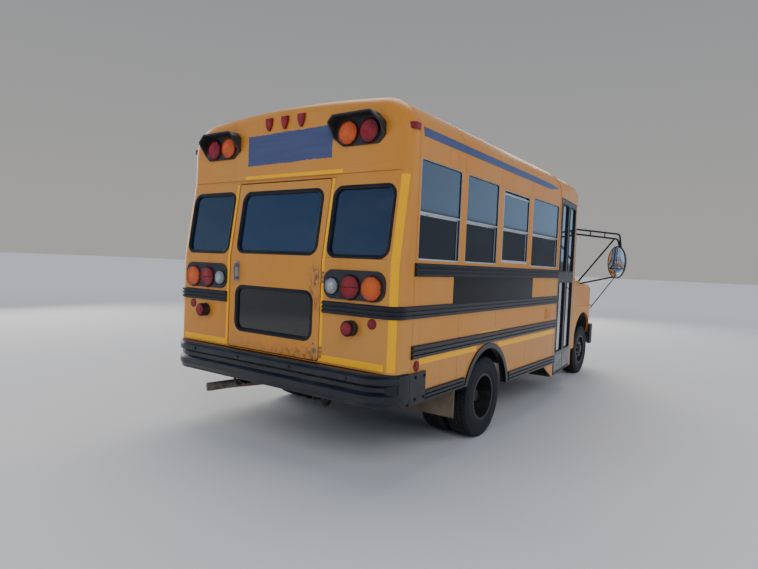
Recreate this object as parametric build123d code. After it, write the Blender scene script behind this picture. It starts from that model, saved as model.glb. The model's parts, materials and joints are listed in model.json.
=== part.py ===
from math import atan2, cos, pi, radians, sin, sqrt
import os

from build123d import *

# Short school bus on a cutaway van chassis. Millimetres, +Z up, the bus faces -Y,
# +X is the driver's side. The origin is on the ground under the middle of the bus.
# Stations along the bus are measured from the rear axle, positive to the rear.

# Driving dimensions
WHEELBASE = 4039
FRONT_OVERHANG = 838
REAR_OVERHANG = 1650
BODY_WIDTH = 2438
CAB_WIDTH = 2000
ROOF_PEAK = 2825
FLOOR_TOP = 800
TYRE_RADIUS = 372
TYRE_WIDTH = 223
RIM_RADIUS = 216
FRONT_TRACK = 1748
REAR_TRACK = 1925
DUAL_SPACING = 260

OVERALL_LENGTH = FRONT_OVERHANG + WHEELBASE + REAR_OVERHANG
REAR_AXLE_Y = OVERALL_LENGTH / 2 - REAR_OVERHANG
FRONT_AXLE_Y = REAR_AXLE_Y - WHEELBASE
FRONT_Y = -OVERALL_LENGTH / 2
REAR_Y = OVERALL_LENGTH / 2

# Frame rails
RAIL_X = 430
RAIL_LOW = 470
RAIL_HIGH = 680
RAIL_FLANGE = 70
RAIL_WEB = 8

# Clearances
SEAT_GAP = 0.3
DOOR_GAP = 8

# Body shell
HALF_WIDTH = BODY_WIDTH / 2
HALF_CAB = CAB_WIDTH / 2
WALL = 50
SHOULDER_RADIUS = 300
SHOULDER_DROP = 345
SHOULDER_Z = ROOF_PEAK - SHOULDER_DROP
CORNER_RADIUS = 95
CAP_EDGE_RADIUS = 110
BUMPER_STANDOFF = 85
SKIRT_Z = 540
FRONT_SKIRT_Z = 442
CANT_Z = SHOULDER_Z - 40
REAR_KNEE_Z = 1567
REAR_SEAM_Z = SHOULDER_Z - 250
REAR_LEAN = 93
CAP_SETBACK = 85
SKIN = 30


def station(from_rear_axle):
    return REAR_AXLE_Y + from_rear_axle


def cab_station(from_front_axle):
    return FRONT_AXLE_Y + from_front_axle


REAR_FACE_Y = REAR_Y - BUMPER_STANDOFF
REAR_CAP_Y = REAR_FACE_Y - CAP_SETBACK
REAR_SEAM_Y = station(1353)
BOW_Y = cab_station(2079)
POST_REAR_Y = cab_station(2049)
CAB_BACK_Y = cab_station(1499)
FRONT_POST_Y = cab_station(1059)
HEADER_Y = cab_station(1039)
COWL_Y = cab_station(439)
CLIP_FRONT_Y = cab_station(-701)
BOW_STATION = BOW_Y - REAR_AXLE_Y


def box(x_low, x_high, y_low, y_high, z_low, z_high):
    size = (x_high - x_low, y_high - y_low, z_high - z_low)
    centre = ((x_low + x_high) / 2, (y_low + y_high) / 2, (z_low + z_high) / 2)
    return Pos(*centre) * Box(*size)


def along_x(face, x_low, x_high):
    """Extrude a face drawn in (y, z)."""
    return Pos(x_low, 0, 0) * extrude(Plane.YZ * face, x_high - x_low)


def along_y(face, y_low, y_high):
    """Extrude a face drawn in (x, z)."""
    return Pos(0, y_high, 0) * extrude(Plane.XZ * face, y_high - y_low)


def along_z(face, z_low, z_high):
    return Pos(0, 0, z_low) * extrude(Plane.XY * face, z_high - z_low)


def polygon(*points):
    return make_face(Polyline(*points, close=True))


def rounded(low_a, high_a, low_b, high_b, radius):
    centre = ((low_a + high_a) / 2, (low_b + high_b) / 2)
    return Pos(*centre) * RectangleRounded(high_a - low_a, high_b - low_b, radius)


def rounded_polygon(points, radii):
    return make_face(FilletPolyline(*points, radius=radii, close=True))


def cylinder_x(x_low, x_high, y, z, radius):
    return Pos(x_low, y, z) * Rot(0, 90, 0) * Cylinder(
        radius, x_high - x_low, align=(Align.CENTER, Align.CENTER, Align.MIN))


def cylinder_y(x, y_low, y_high, z, radius):
    return Pos(x, y_low, z) * Rot(-90, 0, 0) * Cylinder(
        radius, y_high - y_low, align=(Align.CENTER, Align.CENTER, Align.MIN))


def cylinder_z(x, y, z_low, z_high, radius):
    return Pos(x, y, z_low) * Cylinder(
        radius, z_high - z_low, align=(Align.CENTER, Align.CENTER, Align.MIN))


def tube(points, radius, bend):
    path = FilletPolyline(*points, radius=bend) if len(points) > 2 else Line(*points)
    start = Plane(origin=path @ 0, z_dir=path % 0)
    return sweep(start * Circle(radius), path=path)


def mirrored(solid):
    return mirror(solid, about=Plane.YZ)


def both_sides(solid):
    return [solid, mirrored(solid)]


HINGE_RADIUS = 8
HINGE_PIN = 4


def hinge_barrels(x, y, z, half_length):
    """A butt hinge standing on end: its fixed knuckles with the pin, and its moving knuckle."""
    third = half_length / 3
    pin = cylinder_z(x, y, z - half_length, z + half_length, HINGE_PIN)
    fixed = pin + cylinder_z(x, y, z - half_length, z - third - SEAT_GAP, HINGE_RADIUS)
    fixed += cylinder_z(x, y, z + third + SEAT_GAP, z + half_length, HINGE_RADIUS)
    moving = cylinder_z(x, y, z - third, z + third, HINGE_RADIUS)
    moving -= cylinder_z(x, y, z - half_length, z + half_length, HINGE_PIN + SEAT_GAP)
    return fixed, moving


def save(name, *solids):
    flat = []
    for item in solids:
        flat += item if isinstance(item, list) else [item]
    pieces = []
    for item in flat:
        pieces += list(item.solids())
    shape = Compound(children=pieces) if len(pieces) > 1 else pieces[0]
    shape.label = name
    export_step(shape, f"parts/{name}.step")


# The shell: one cross-section with a crowned roof, rounded at the rear

def body_section(inset, z_low):
    half = HALF_WIDTH - inset
    shoulder = SHOULDER_RADIUS - inset
    rise = ROOF_PEAK - inset - SHOULDER_Z
    reach = half - shoulder
    crown = (reach ** 2 + rise ** 2 - shoulder ** 2) / (2 * (rise - shoulder))
    lean = atan2(reach, SHOULDER_Z - ROOF_PEAK + inset + crown)
    edge = (reach + shoulder * sin(lean), SHOULDER_Z + shoulder * cos(lean))
    middle = radians(45) + lean / 2
    bend = (reach + shoulder * sin(middle), SHOULDER_Z + shoulder * cos(middle))
    lines = Polyline((-half, SHOULDER_Z), (-half, z_low), (half, z_low), (half, SHOULDER_Z))
    right = ThreePointArc((half, SHOULDER_Z), bend, edge)
    top = ThreePointArc(edge, (0, ROOF_PEAK - inset), (-edge[0], edge[1]))
    left = ThreePointArc((-edge[0], edge[1]), (-bend[0], bend[1]), (-half, SHOULDER_Z))
    return make_face([lines, right, top, left])


def plan_face(inset, y_front, y_rear):
    """Plan of the body behind the bow, its rear corners rounded."""
    half = HALF_WIDTH - inset
    rear = y_rear - inset
    radius = CORNER_RADIUS - inset
    points = [(-half, y_front), (half, y_front), (half, rear), (-half, rear)]
    return rounded_polygon(points, [0, 0, radius, radius])


def shell_solid(inset, z_low, y_front):
    """Upright to the belt, leaning forward to the seam, then the cap under the crowned roof."""
    lower = along_z(plan_face(inset, y_front, REAR_FACE_Y), z_low, REAR_KNEE_Z)
    knee = Pos(0, 0, REAR_KNEE_Z) * plan_face(inset, y_front, REAR_FACE_Y)
    seam = Pos(0, 0, REAR_SEAM_Z) * plan_face(inset, y_front, REAR_FACE_Y - REAR_LEAN)
    rear = REAR_CAP_Y - inset
    upper = along_y(body_section(inset, REAR_SEAM_Z), y_front, rear)
    rim = upper.edges().filter_by(lambda e: abs(e.center().Y - rear) < 1 and e.center().Z > REAR_SEAM_Z + 1)
    upper = fillet(rim, CAP_EDGE_RADIUS - inset)
    return lower + loft([knee, seam], ruled=True) + upper


SHELL_OUTER = shell_solid(0, FRONT_SKIRT_Z, BOW_Y)
SHELL_INNER = shell_solid(WALL, FRONT_SKIRT_Z - 100, BOW_Y - 100)
SHELL = SHELL_OUTER - SHELL_INNER
EVERYWHERE = 5000

# Side windows: rear edge and front edge, from the rear axle
WINDOWS = [(1316, 671), (564, -90), (-194, -910), (-1010, BOW_STATION + 77)]
WINDOW_LOW = 1598
WINDOW_HIGH = SHOULDER_Z - 144
WINDOW_RADIUS = 30
WINDOW_RECESS = 8
FRAME_DEPTH = 34
FRAME_WIDTH = 24
SASH_SHARE = 0.472
SASH_Z = WINDOW_LOW + SASH_SHARE * (WINDOW_HIGH - WINDOW_LOW)
SASH_HEIGHT = 34
PANE = 6

# Rear wheel arch: a round opening with a black lip round it
ARCH_RADIUS = 458
LIP_INNER = 455
LIP_OUTER = 503
LIP_PROUD = 14


def window_faces(inset):
    for rear, front in WINDOWS:
        yield rounded(station(front) + inset, station(rear) - inset,
                      WINDOW_LOW + inset, WINDOW_HIGH - inset, WINDOW_RADIUS - inset)


# The corner under the skirt beside the step well: y from the bow and z from the skirt
SKIRT_CORNER = [(320, 1), (300, -21), (52, -150), (15, -150), (15, 1)]


def skirt_corner():
    places = [(BOW_Y + y, FRONT_SKIRT_Z + z) for y, z in SKIRT_CORNER]
    return along_x(polygon(*places), HALF_WIDTH - 12, HALF_WIDTH)


def side_walls():
    zone = box(HALF_WIDTH - WALL - 1, HALF_WIDTH + 1, BOW_Y - 1, REAR_SEAM_Y, FRONT_SKIRT_Z - 1, CANT_Z)
    wall = SHELL & zone
    wall -= box(0, EVERYWHERE, REAR_AXLE_Y, REAR_Y, 0, SKIRT_Z)
    for face in window_faces(0):
        wall -= along_x(face, HALF_WIDTH - WALL - 10, HALF_WIDTH + 10)
    wall -= cylinder_x(HALF_WIDTH - WALL - 10, HALF_WIDTH + 10, REAR_AXLE_Y, TYRE_RADIUS, ARCH_RADIUS)
    return wall, mirrored(wall) + mirrored(skirt_corner())


def arch_lips():
    """The black lip round each rear arch, down to the skirt in front and behind."""
    ring = Circle(LIP_OUTER) - Circle(LIP_INNER)
    ring = Pos(REAR_AXLE_Y, TYRE_RADIUS) * ring
    front = Pos(station(-EVERYWHERE / 2), FRONT_SKIRT_Z + EVERYWHERE / 2) * Rectangle(EVERYWHERE, EVERYWHERE)
    rear = Pos(station(EVERYWHERE / 2), SKIRT_Z + EVERYWHERE / 2) * Rectangle(EVERYWHERE, EVERYWHERE)
    lip = along_x(ring & front, HALF_WIDTH, HALF_WIDTH + LIP_PROUD)
    lip += along_x(ring & rear, HALF_WIDTH, HALF_WIDTH + LIP_PROUD)
    return both_sides(lip)


def roof():
    return SHELL & box(-EVERYWHERE, EVERYWHERE, BOW_Y - 1, REAR_SEAM_Y, CANT_Z, ROOF_PEAK + 1)


# Rear face: the emergency door and the windows beside it
REAR_DOOR_HALF = 516
REAR_DOOR_LOW = 800
REAR_DOOR_HIGH = REAR_SEAM_Z - 35
REAR_DOOR_THICK = 45
FREE_GAP = 11
REAR_WALL_LOW = 640
REAR_HINGES = [870, 1440]
REAR_HINGE_X = -REAR_DOOR_HALF - DOOR_GAP / 2
REAR_HINGE_Y = REAR_FACE_Y + HINGE_RADIUS + SEAT_GAP
HINGE_HALF = 45
WALL_PLATE = 32
DOOR_PLATE = 62
HINGE_SHEET = 5
REAR_DOOR_RADIUS = 30
REAR_SIDE_WINDOW = (REAR_DOOR_HALF + 44, HALF_WIDTH - 93, 1597, REAR_DOOR_HIGH - 65)
REAR_UPPER_WINDOW = (-455, 455, 1606, REAR_DOOR_HIGH - 72)
REAR_LOWER_WINDOW = (-440, 440, 942, 1324)
REAR_WINDOW_RADIUS = 80
GASKET_WIDTH = 22
GASKET_PROUD = 6


def rear_y(z):
    share = (z - REAR_KNEE_Z) / (REAR_SEAM_Z - REAR_KNEE_Z)
    return REAR_FACE_Y - REAR_LEAN * min(max(share, 0), 1)


def through_rear(face):
    return along_y(face, REAR_CAP_Y - WALL - 60, REAR_FACE_Y + 60)


def rear_layer(near, far, z_low, z_high):
    """A sheet that follows the rear face up to its lean, between two distances from it."""
    levels = [z_low, REAR_KNEE_Z, z_high] if z_low < REAR_KNEE_Z < z_high else [z_low, z_high]
    outside = [(rear_y(z) + far, z) for z in levels]
    inside = [(rear_y(z) + near, z) for z in reversed(levels)]
    return along_x(polygon(*outside, *inside), -EVERYWHERE, EVERYWHERE)


def rear_wall():
    wall = SHELL & box(-EVERYWHERE, EVERYWHERE, REAR_SEAM_Y, REAR_FACE_Y + 1, REAR_WALL_LOW, REAR_SEAM_Z)
    opening = rounded(-REAR_DOOR_HALF - DOOR_GAP, REAR_DOOR_HALF + FREE_GAP,
                      REAR_DOOR_LOW - DOOR_GAP, REAR_DOOR_HIGH + DOOR_GAP, REAR_DOOR_RADIUS)
    wall -= through_rear(opening)
    cut = through_rear(rounded(*REAR_SIDE_WINDOW, REAR_WINDOW_RADIUS))
    wall = wall - cut - mirrored(cut)
    for z in REAR_HINGES:
        fixed, _ = hinge_barrels(REAR_HINGE_X, REAR_HINGE_Y, z, HINGE_HALF)
        plate = box(REAR_HINGE_X - WALL_PLATE, REAR_HINGE_X, REAR_FACE_Y, REAR_FACE_Y + HINGE_SHEET,
                    z - HINGE_HALF, z + HINGE_HALF)
        plate -= box(REAR_HINGE_X - 12, REAR_HINGE_X + 12, REAR_FACE_Y - 1, REAR_FACE_Y + 20,
                     z - HINGE_HALF / 3 - SEAT_GAP, z + HINGE_HALF / 3 + SEAT_GAP)
        wall += fixed + plate
    return wall


def rear_cap():
    zone = box(-EVERYWHERE, EVERYWHERE, REAR_SEAM_Y, REAR_FACE_Y + 1, REAR_SEAM_Z, ROOF_PEAK + 1)
    return SHELL & zone


def gasket(window):
    outer = rounded(*window, REAR_WINDOW_RADIUS)
    low_x, high_x, low_z, high_z = window
    inner = rounded(low_x + GASKET_WIDTH, high_x - GASKET_WIDTH,
                    low_z + GASKET_WIDTH, high_z - GASKET_WIDTH, REAR_WINDOW_RADIUS - GASKET_WIDTH)
    middle = -FRAME_DEPTH / 2
    ring = through_rear(outer - inner) & rear_layer(-FRAME_DEPTH, GASKET_PROUD, low_z - 1, high_z + 1)
    pane = through_rear(inner) & rear_layer(middle - PANE / 2, middle + PANE / 2, low_z, high_z)
    return ring, pane


def rear_door():
    slab = through_rear(rounded(-REAR_DOOR_HALF, REAR_DOOR_HALF, REAR_DOOR_LOW, REAR_DOOR_HIGH,
                                REAR_DOOR_RADIUS - DOOR_GAP))
    slab &= rear_layer(-REAR_DOOR_THICK, 0, REAR_DOOR_LOW - 1, REAR_DOOR_HIGH + 1)
    fittings = []
    panes = []
    for window in (REAR_UPPER_WINDOW, REAR_LOWER_WINDOW):
        slab -= through_rear(rounded(*window, REAR_WINDOW_RADIUS))
        ring, pane = gasket(window)
        fittings.append(ring)
        panes.append(pane)
    for z in REAR_HINGES:
        _, moving = hinge_barrels(REAR_HINGE_X, REAR_HINGE_Y, z, HINGE_HALF)
        strap = box(REAR_HINGE_X + HINGE_PIN + 1, REAR_HINGE_X + DOOR_PLATE, REAR_FACE_Y,
                    REAR_FACE_Y + HINGE_SHEET, z - HINGE_HALF / 3, z + HINGE_HALF / 3)
        slab += moving + strap
    handle_x = 425
    grip = box(handle_x - 12, handle_x + 12, REAR_FACE_Y + 30, REAR_FACE_Y + 48, 1370, 1512)
    for z in (1385, 1497):
        grip += box(handle_x - 12, handle_x + 12, REAR_FACE_Y, REAR_FACE_Y + 31, z - 12, z + 12)
    fittings.append(grip)
    return slab, fittings, panes


# Rub rails: name, low, high, front station, rear station
RAIL_DEPTH = 20
RAIL_BASE = 8
RAIL_RIBS = 3
RAIL_FRONT = BOW_STATION + 10
RAILS = [("window", 1479, 1577, RAIL_FRONT, 1353), ("seat", 1173, 1266, RAIL_FRONT, 1470),
         ("floor", 877, 977, RAIL_FRONT, 1353), ("skirt front", FRONT_SKIRT_Z, 541, RAIL_FRONT, -505),
         ("skirt rear", SKIRT_Z, 629, 485, 1148)]


def rail_face(low, high, start):
    """Rail section: a flat strip with rounded-off ribs, from its seat outwards."""
    face = polygon((start, low), (start + RAIL_BASE, low), (start + RAIL_BASE, high), (start, high))
    pitch = (high - low) / RAIL_RIBS
    for rib in range(RAIL_RIBS):
        bottom = low + rib * pitch
        face += polygon((start, bottom + pitch * 0.08), (start + RAIL_DEPTH, bottom + pitch * 0.25),
                        (start + RAIL_DEPTH, bottom + pitch * 0.75), (start, bottom + pitch * 0.92))
    return face


def rub_rails():
    rails = []
    for name, low, high, front, rear in RAILS:
        section = rail_face(low, high, HALF_WIDTH)
        if name == "seat":
            centre_y = REAR_FACE_Y - CORNER_RADIUS
            rail = along_y(section, station(front), centre_y)
            swing = Axis((HALF_WIDTH - CORNER_RADIUS, centre_y, 0), (0, 0, 1))
            rail += revolve(Pos(0, centre_y, 0) * (Plane.XZ * section), axis=swing, revolution_arc=90)
            flat = rail_face(low, high, REAR_FACE_Y)
            rail += along_x(flat, REAR_DOOR_HALF + 34, HALF_WIDTH - CORNER_RADIUS)
        else:
            rail = along_y(section, station(front), station(rear))
        rails += both_sides(rail)
    return rails


def window_parts():
    frames = []
    panes = []
    outer_x = HALF_WIDTH - WINDOW_RECESS
    mid_x = outer_x - FRAME_DEPTH / 2
    for outer, inner, (rear, front) in zip(window_faces(0), window_faces(FRAME_WIDTH), WINDOWS):
        ring = along_x(outer - inner, outer_x - FRAME_DEPTH, outer_x)
        bar = box(outer_x - FRAME_DEPTH, outer_x, station(front) + FRAME_WIDTH, station(rear) - FRAME_WIDTH,
                  SASH_Z - SASH_HEIGHT / 2, SASH_Z + SASH_HEIGHT / 2)
        frames += both_sides(ring + bar)
        pane = along_x(inner, mid_x - PANE / 2, mid_x + PANE / 2) - bar
        for piece in pane.solids():
            panes += both_sides(piece)
    return frames, panes


# Floor with wheel housings, and the entrance step well
FLOOR_THICK = 40
HOUSING_HALF = 470
HOUSING_TOP = 890
HOUSING_LOW = 620
HOUSING_INNER_X = REAR_TRACK / 2 - DUAL_SPACING / 2 - TYRE_WIDTH / 2 - 60
HOUSING_SKIN = 12
STEP_WELL_INNER_X = HALF_WIDTH - 399
STEP_LOW = 264
STEP_RISE = 260
STEP_TREAD = 130
STEP_SKIN = 20


def floor():
    inner = HALF_WIDTH - WALL
    corner = entrance_x(CAB_BACK_Y) - WALL
    outline = polygon((-STEP_WELL_INNER_X, FRONT_POST_Y), (DRIVER_ZONE_X, FRONT_POST_Y),
                      (DRIVER_ZONE_X, CAB_BACK_Y), (HALF_CAB - 60, CAB_BACK_Y),
                      (HALF_CAB - 60, CAB_BACK_Y + 40),
                      (corner, CAB_BACK_Y + 40), (inner, BOW_Y), (inner, REAR_FACE_Y - WALL),
                      (-inner, REAR_FACE_Y - WALL), (-inner, POST_REAR_Y + 40),
                      (-STEP_WELL_INNER_X, POST_REAR_Y + 40))
    plate = along_z(outline, FLOOR_TOP - FLOOR_THICK, FLOOR_TOP)
    rear_corner = box(inner - CORNER_RADIUS, inner + 1, REAR_FACE_Y - WALL - CORNER_RADIUS,
                      REAR_FACE_Y, 0, FLOOR_TOP + 1)
    for corner in both_sides(rear_corner):
        plate -= corner
    for side in (1, -1):
        low, high = sorted((side * HOUSING_INNER_X, side * inner))
        y_low, y_high = station(-HOUSING_HALF), station(HOUSING_HALF)
        plate += box(low, high, y_low, y_high, HOUSING_LOW, HOUSING_TOP)
        skin = HOUSING_SKIN
        low_cut = low + skin if side > 0 else low - 1
        high_cut = high + 1 if side > 0 else high - skin
        plate -= box(low_cut, high_cut, y_low + skin, y_high - skin, 0, HOUSING_TOP - skin)
    return plate


def entrance_x(y, inset=0.0):
    """Outer face of the tapering entrance side at a given y."""
    share = (BOW_Y - y) / (BOW_Y - FRONT_POST_Y)
    return HALF_WIDTH - share * TAPER_IN - inset


TAPER_IN = 89


def step_well():
    y_low, y_high = FRONT_POST_Y + POST_WIDTH, POST_REAR_Y - 2
    inner, top = STEP_WELL_INNER_X, FLOOR_TOP
    outline = polygon((-inner, y_low), (-entrance_x(y_low) + LEAF_THICK + 10, y_low),
                      (-entrance_x(y_high) + LEAF_THICK + 10, y_high), (-inner, y_high))
    well = along_z(outline, STEP_LOW, top)
    skin = STEP_SKIN
    well -= box(-HALF_WIDTH, -inner - STEP_TREAD, y_low + skin, y_high - skin, STEP_LOW + skin, top + 1)
    well -= box(-HALF_WIDTH, -inner - skin, y_low + skin, y_high - skin, STEP_LOW + STEP_RISE, top + 1)
    return well


# Front of the body: tapering panels, entrance posts, cap over the cab
CAP_LOW = ROOF_PEAK - 765
CAP_NOSE_Y = cab_station(709)
CAP_NOSE_HALF = HALF_CAB - 180
CAP_SKIN = 40
ENTRANCE_LOW = 290
ENTRANCE_HIGH = ROOF_PEAK - 375
ENTRANCE_LUGS = [480, 1200, CAP_LOW - 70]
POST_WIDTH = 90
LEAF_REAR_Y = POST_REAR_Y - DOOR_GAP
LEAF_FRONT_Y = FRONT_POST_Y + POST_WIDTH + DOOR_GAP
LEAF_MIDDLE_Y = (LEAF_REAR_Y + LEAF_FRONT_Y) / 2


def plan_outline(inset):
    """Plan of the front body from the bow to the cap's nose."""
    bow = HALF_WIDTH - inset
    post = HALF_WIDTH - TAPER_IN - inset
    nose = CAP_NOSE_Y + inset
    points = [(-bow, BOW_Y), (-post, FRONT_POST_Y), (-CAP_NOSE_HALF + inset, nose),
              (CAP_NOSE_HALF - inset, nose), (post, FRONT_POST_Y), (bow, BOW_Y)]
    return rounded_polygon(points, [0, 160 - inset, 200 - inset, 200 - inset, 160 - inset, 0])


def cap_solid(inset):
    plan = along_z(plan_outline(inset), CAP_LOW - (10 if inset else 0), ROOF_PEAK)
    section = along_y(body_section(inset + 15, CAP_LOW - 100), CAP_NOSE_Y - 10, BOW_Y)
    top = ROOF_PEAK - inset
    side = [(BOW_Y + 1, CAP_LOW - 100), (BOW_Y + 1, top - 15), (cab_station(1539), top - 75),
            (cab_station(1059), top - 260), (CAP_NOSE_Y - 1 + inset, CAP_LOW + 60 - inset),
            (CAP_NOSE_Y - 1 + inset, CAP_LOW - 100)]
    profile = rounded_polygon(side, [0, 0, 900, 500, 60, 0])
    return plan & section & along_x(profile, -EVERYWHERE, EVERYWHERE)


def front_cap():
    cap = cap_solid(0) - cap_solid(CAP_SKIN)
    door_cut = box(-EVERYWHERE, -STEP_WELL_INNER_X, FRONT_POST_Y + POST_WIDTH, BOW_Y + 1,
                   CAP_LOW - 1, ENTRANCE_HIGH + DOOR_GAP)
    return cap - door_cut


def side_slab(y_low, y_high, z_low, z_high, thick):
    """A piece of the tapering side on the +X side."""
    points = [(entrance_x(y_low), y_low), (entrance_x(y_high), y_high),
              (entrance_x(y_high) - thick, y_high), (entrance_x(y_low) - thick, y_low)]
    return along_z(polygon(*points), z_low, z_high)


def front_sides():
    left = side_slab(CAB_BACK_Y, BOW_Y, FRONT_SKIRT_Z, CAP_LOW, WALL)
    left += box(HALF_CAB - 60, entrance_x(CAB_BACK_Y) - 1, CAB_BACK_Y, CAB_BACK_Y + 40,
                FRONT_SKIRT_Z, CAP_LOW)
    glass_low, glass_high = CAB_BACK_Y + 110, BOW_Y - 70
    opening = along_x(rounded(glass_low, glass_high, WINDOW_LOW, CAP_LOW - 30, 30),
                      HALF_WIDTH - 250, HALF_WIDTH + 10)
    left -= opening
    pane = side_slab(CAB_BACK_Y, BOW_Y, SKIRT_Z, CAP_LOW, PANE) & opening
    pane = Pos(-WALL / 2, 0, 0) * pane
    rear_post = mirrored(side_slab(POST_REAR_Y, BOW_Y, FRONT_SKIRT_Z, CAP_LOW, WALL))
    front_post = mirrored(side_slab(FRONT_POST_Y, FRONT_POST_Y + POST_WIDTH, ENTRANCE_LOW, CAP_LOW, WALL))
    for z in ENTRANCE_LUGS:
        lug = side_slab(LEAF_REAR_Y + SEAT_GAP, POST_REAR_Y + 1, z - 30, z + 30, 26)
        rear_post += mirrored(Pos(-6, 0, 0) * lug)
        lug = side_slab(FRONT_POST_Y + POST_WIDTH - 1, LEAF_FRONT_Y - SEAT_GAP, z - 30, z + 30, 26)
        front_post += mirrored(Pos(-6, 0, 0) * lug)
    return left, pane, rear_post, front_post


# Entrance door: two leaves hinged at the posts
LEAF_THICK = 36
LEAF_FRAME = 55
LEAF_WINDOWS = [(560, 1430), (1560, ENTRANCE_HIGH - 60)]


def leaf(y_low, y_high):
    slab = side_slab(y_low, y_high, ENTRANCE_LOW, ENTRANCE_HIGH, LEAF_THICK)
    panes = []
    for low, high in LEAF_WINDOWS:
        opening = along_x(rounded(y_low + LEAF_FRAME, y_high - LEAF_FRAME, low, high, 30), 900, 1400)
        pane = side_slab(y_low, y_high, low, high, PANE) & opening
        panes.append(mirrored(Pos(-LEAF_THICK / 2 + PANE / 2, 0, 0) * pane))
        slab -= opening
    return mirrored(slab), panes


# Van front: cowl, pillars, fenders, hood
SILL_LOW = 440
SILL_HIGH = 560
CAB_FLOOR_LOW = RAIL_HIGH
CAB_FLOOR_TOP = CAB_FLOOR_LOW + 30
DRIVER_X = 460
DRIVER_ZONE_X = 120
TUNNEL_HALF = 230
TUNNEL_REAR_Y = cab_station(879)
TUNNEL_TOP = 1000
BELT_Z = 1400
HEADER_Z = CAP_LOW - 20
TUMBLE = 110
PILLAR = 70
ARCH_FRONT_RADIUS = 470
ARCH_FRONT_Z = TYRE_RADIUS + 108
HOOD_HALF = HALF_CAB - 240
HOOD_REAR_Y = cab_station(339)
HOOD_GAP = 8
CLIP_LOW = 600


def clip_profile(inset):
    low = CLIP_LOW - (50 if inset else 0)
    front = CLIP_FRONT_Y + inset
    back = COWL_Y + (20 if inset else 10)
    points = [(back, low), (back, BELT_Z + 32 - inset),
              (cab_station(-201), 1365 - inset), (cab_station(-601), 1235 - inset), (front, 1000),
              (front, low)]
    return rounded_polygon(points, [0, 0, 600, 150, 60, 0])


def clip_plan(inset):
    half = HALF_CAB - inset
    front = CLIP_FRONT_Y + inset
    back = COWL_Y + (20 if inset > 0 else 10)
    points = [(-half, back), (-half, cab_station(-361)), (-half + 150, front), (half - 150, front),
              (half, cab_station(-361)), (half, back)]
    return rounded_polygon(points, [0, 200, 120, 120, 200, 0])


def clip_solid(inset):
    return along_x(clip_profile(inset), -HALF_CAB - 10, HALF_CAB + 10) & along_z(clip_plan(inset), 0, 2000)


CLIP_OUTER = clip_solid(0)
GRILLE = (-HALF_CAB + 480, HALF_CAB - 480, 820, 1120)
HEADLAMP = (HALF_CAB - 455, HALF_CAB - 150, 850, 1110)
HOOD_FRONT_Z = 1140


def front_clip():
    shell = CLIP_OUTER - clip_solid(SKIN)
    hood_zone = box(-HOOD_HALF, HOOD_HALF, CLIP_FRONT_Y - 10, HOOD_REAR_Y, HOOD_FRONT_Z, 2000)
    hood = shell & hood_zone
    gap_zone = box(-HOOD_HALF - HOOD_GAP, HOOD_HALF + HOOD_GAP, CLIP_FRONT_Y - 10, HOOD_REAR_Y + HOOD_GAP,
                   HOOD_FRONT_Z - HOOD_GAP, 2000)
    fenders = shell - gap_zone
    fenders -= cylinder_x(-HALF_CAB - 20, HALF_CAB + 20, FRONT_AXLE_Y, ARCH_FRONT_Z, ARCH_FRONT_RADIUS)
    fenders -= along_y(rounded(*GRILLE, 20), CLIP_FRONT_Y - 10, CLIP_FRONT_Y + 100)
    for lamp in both_sides(along_y(rounded(*HEADLAMP, 25), CLIP_FRONT_Y - 10, CLIP_FRONT_Y + 260)):
        fenders -= lamp
    for lug in both_sides(box(480, 600, HOOD_REAR_Y + SEAT_GAP, HOOD_REAR_Y + HOOD_GAP + 1,
                              BELT_Z, BELT_Z + 18)):
        fenders += lug
    return hood, fenders


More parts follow.
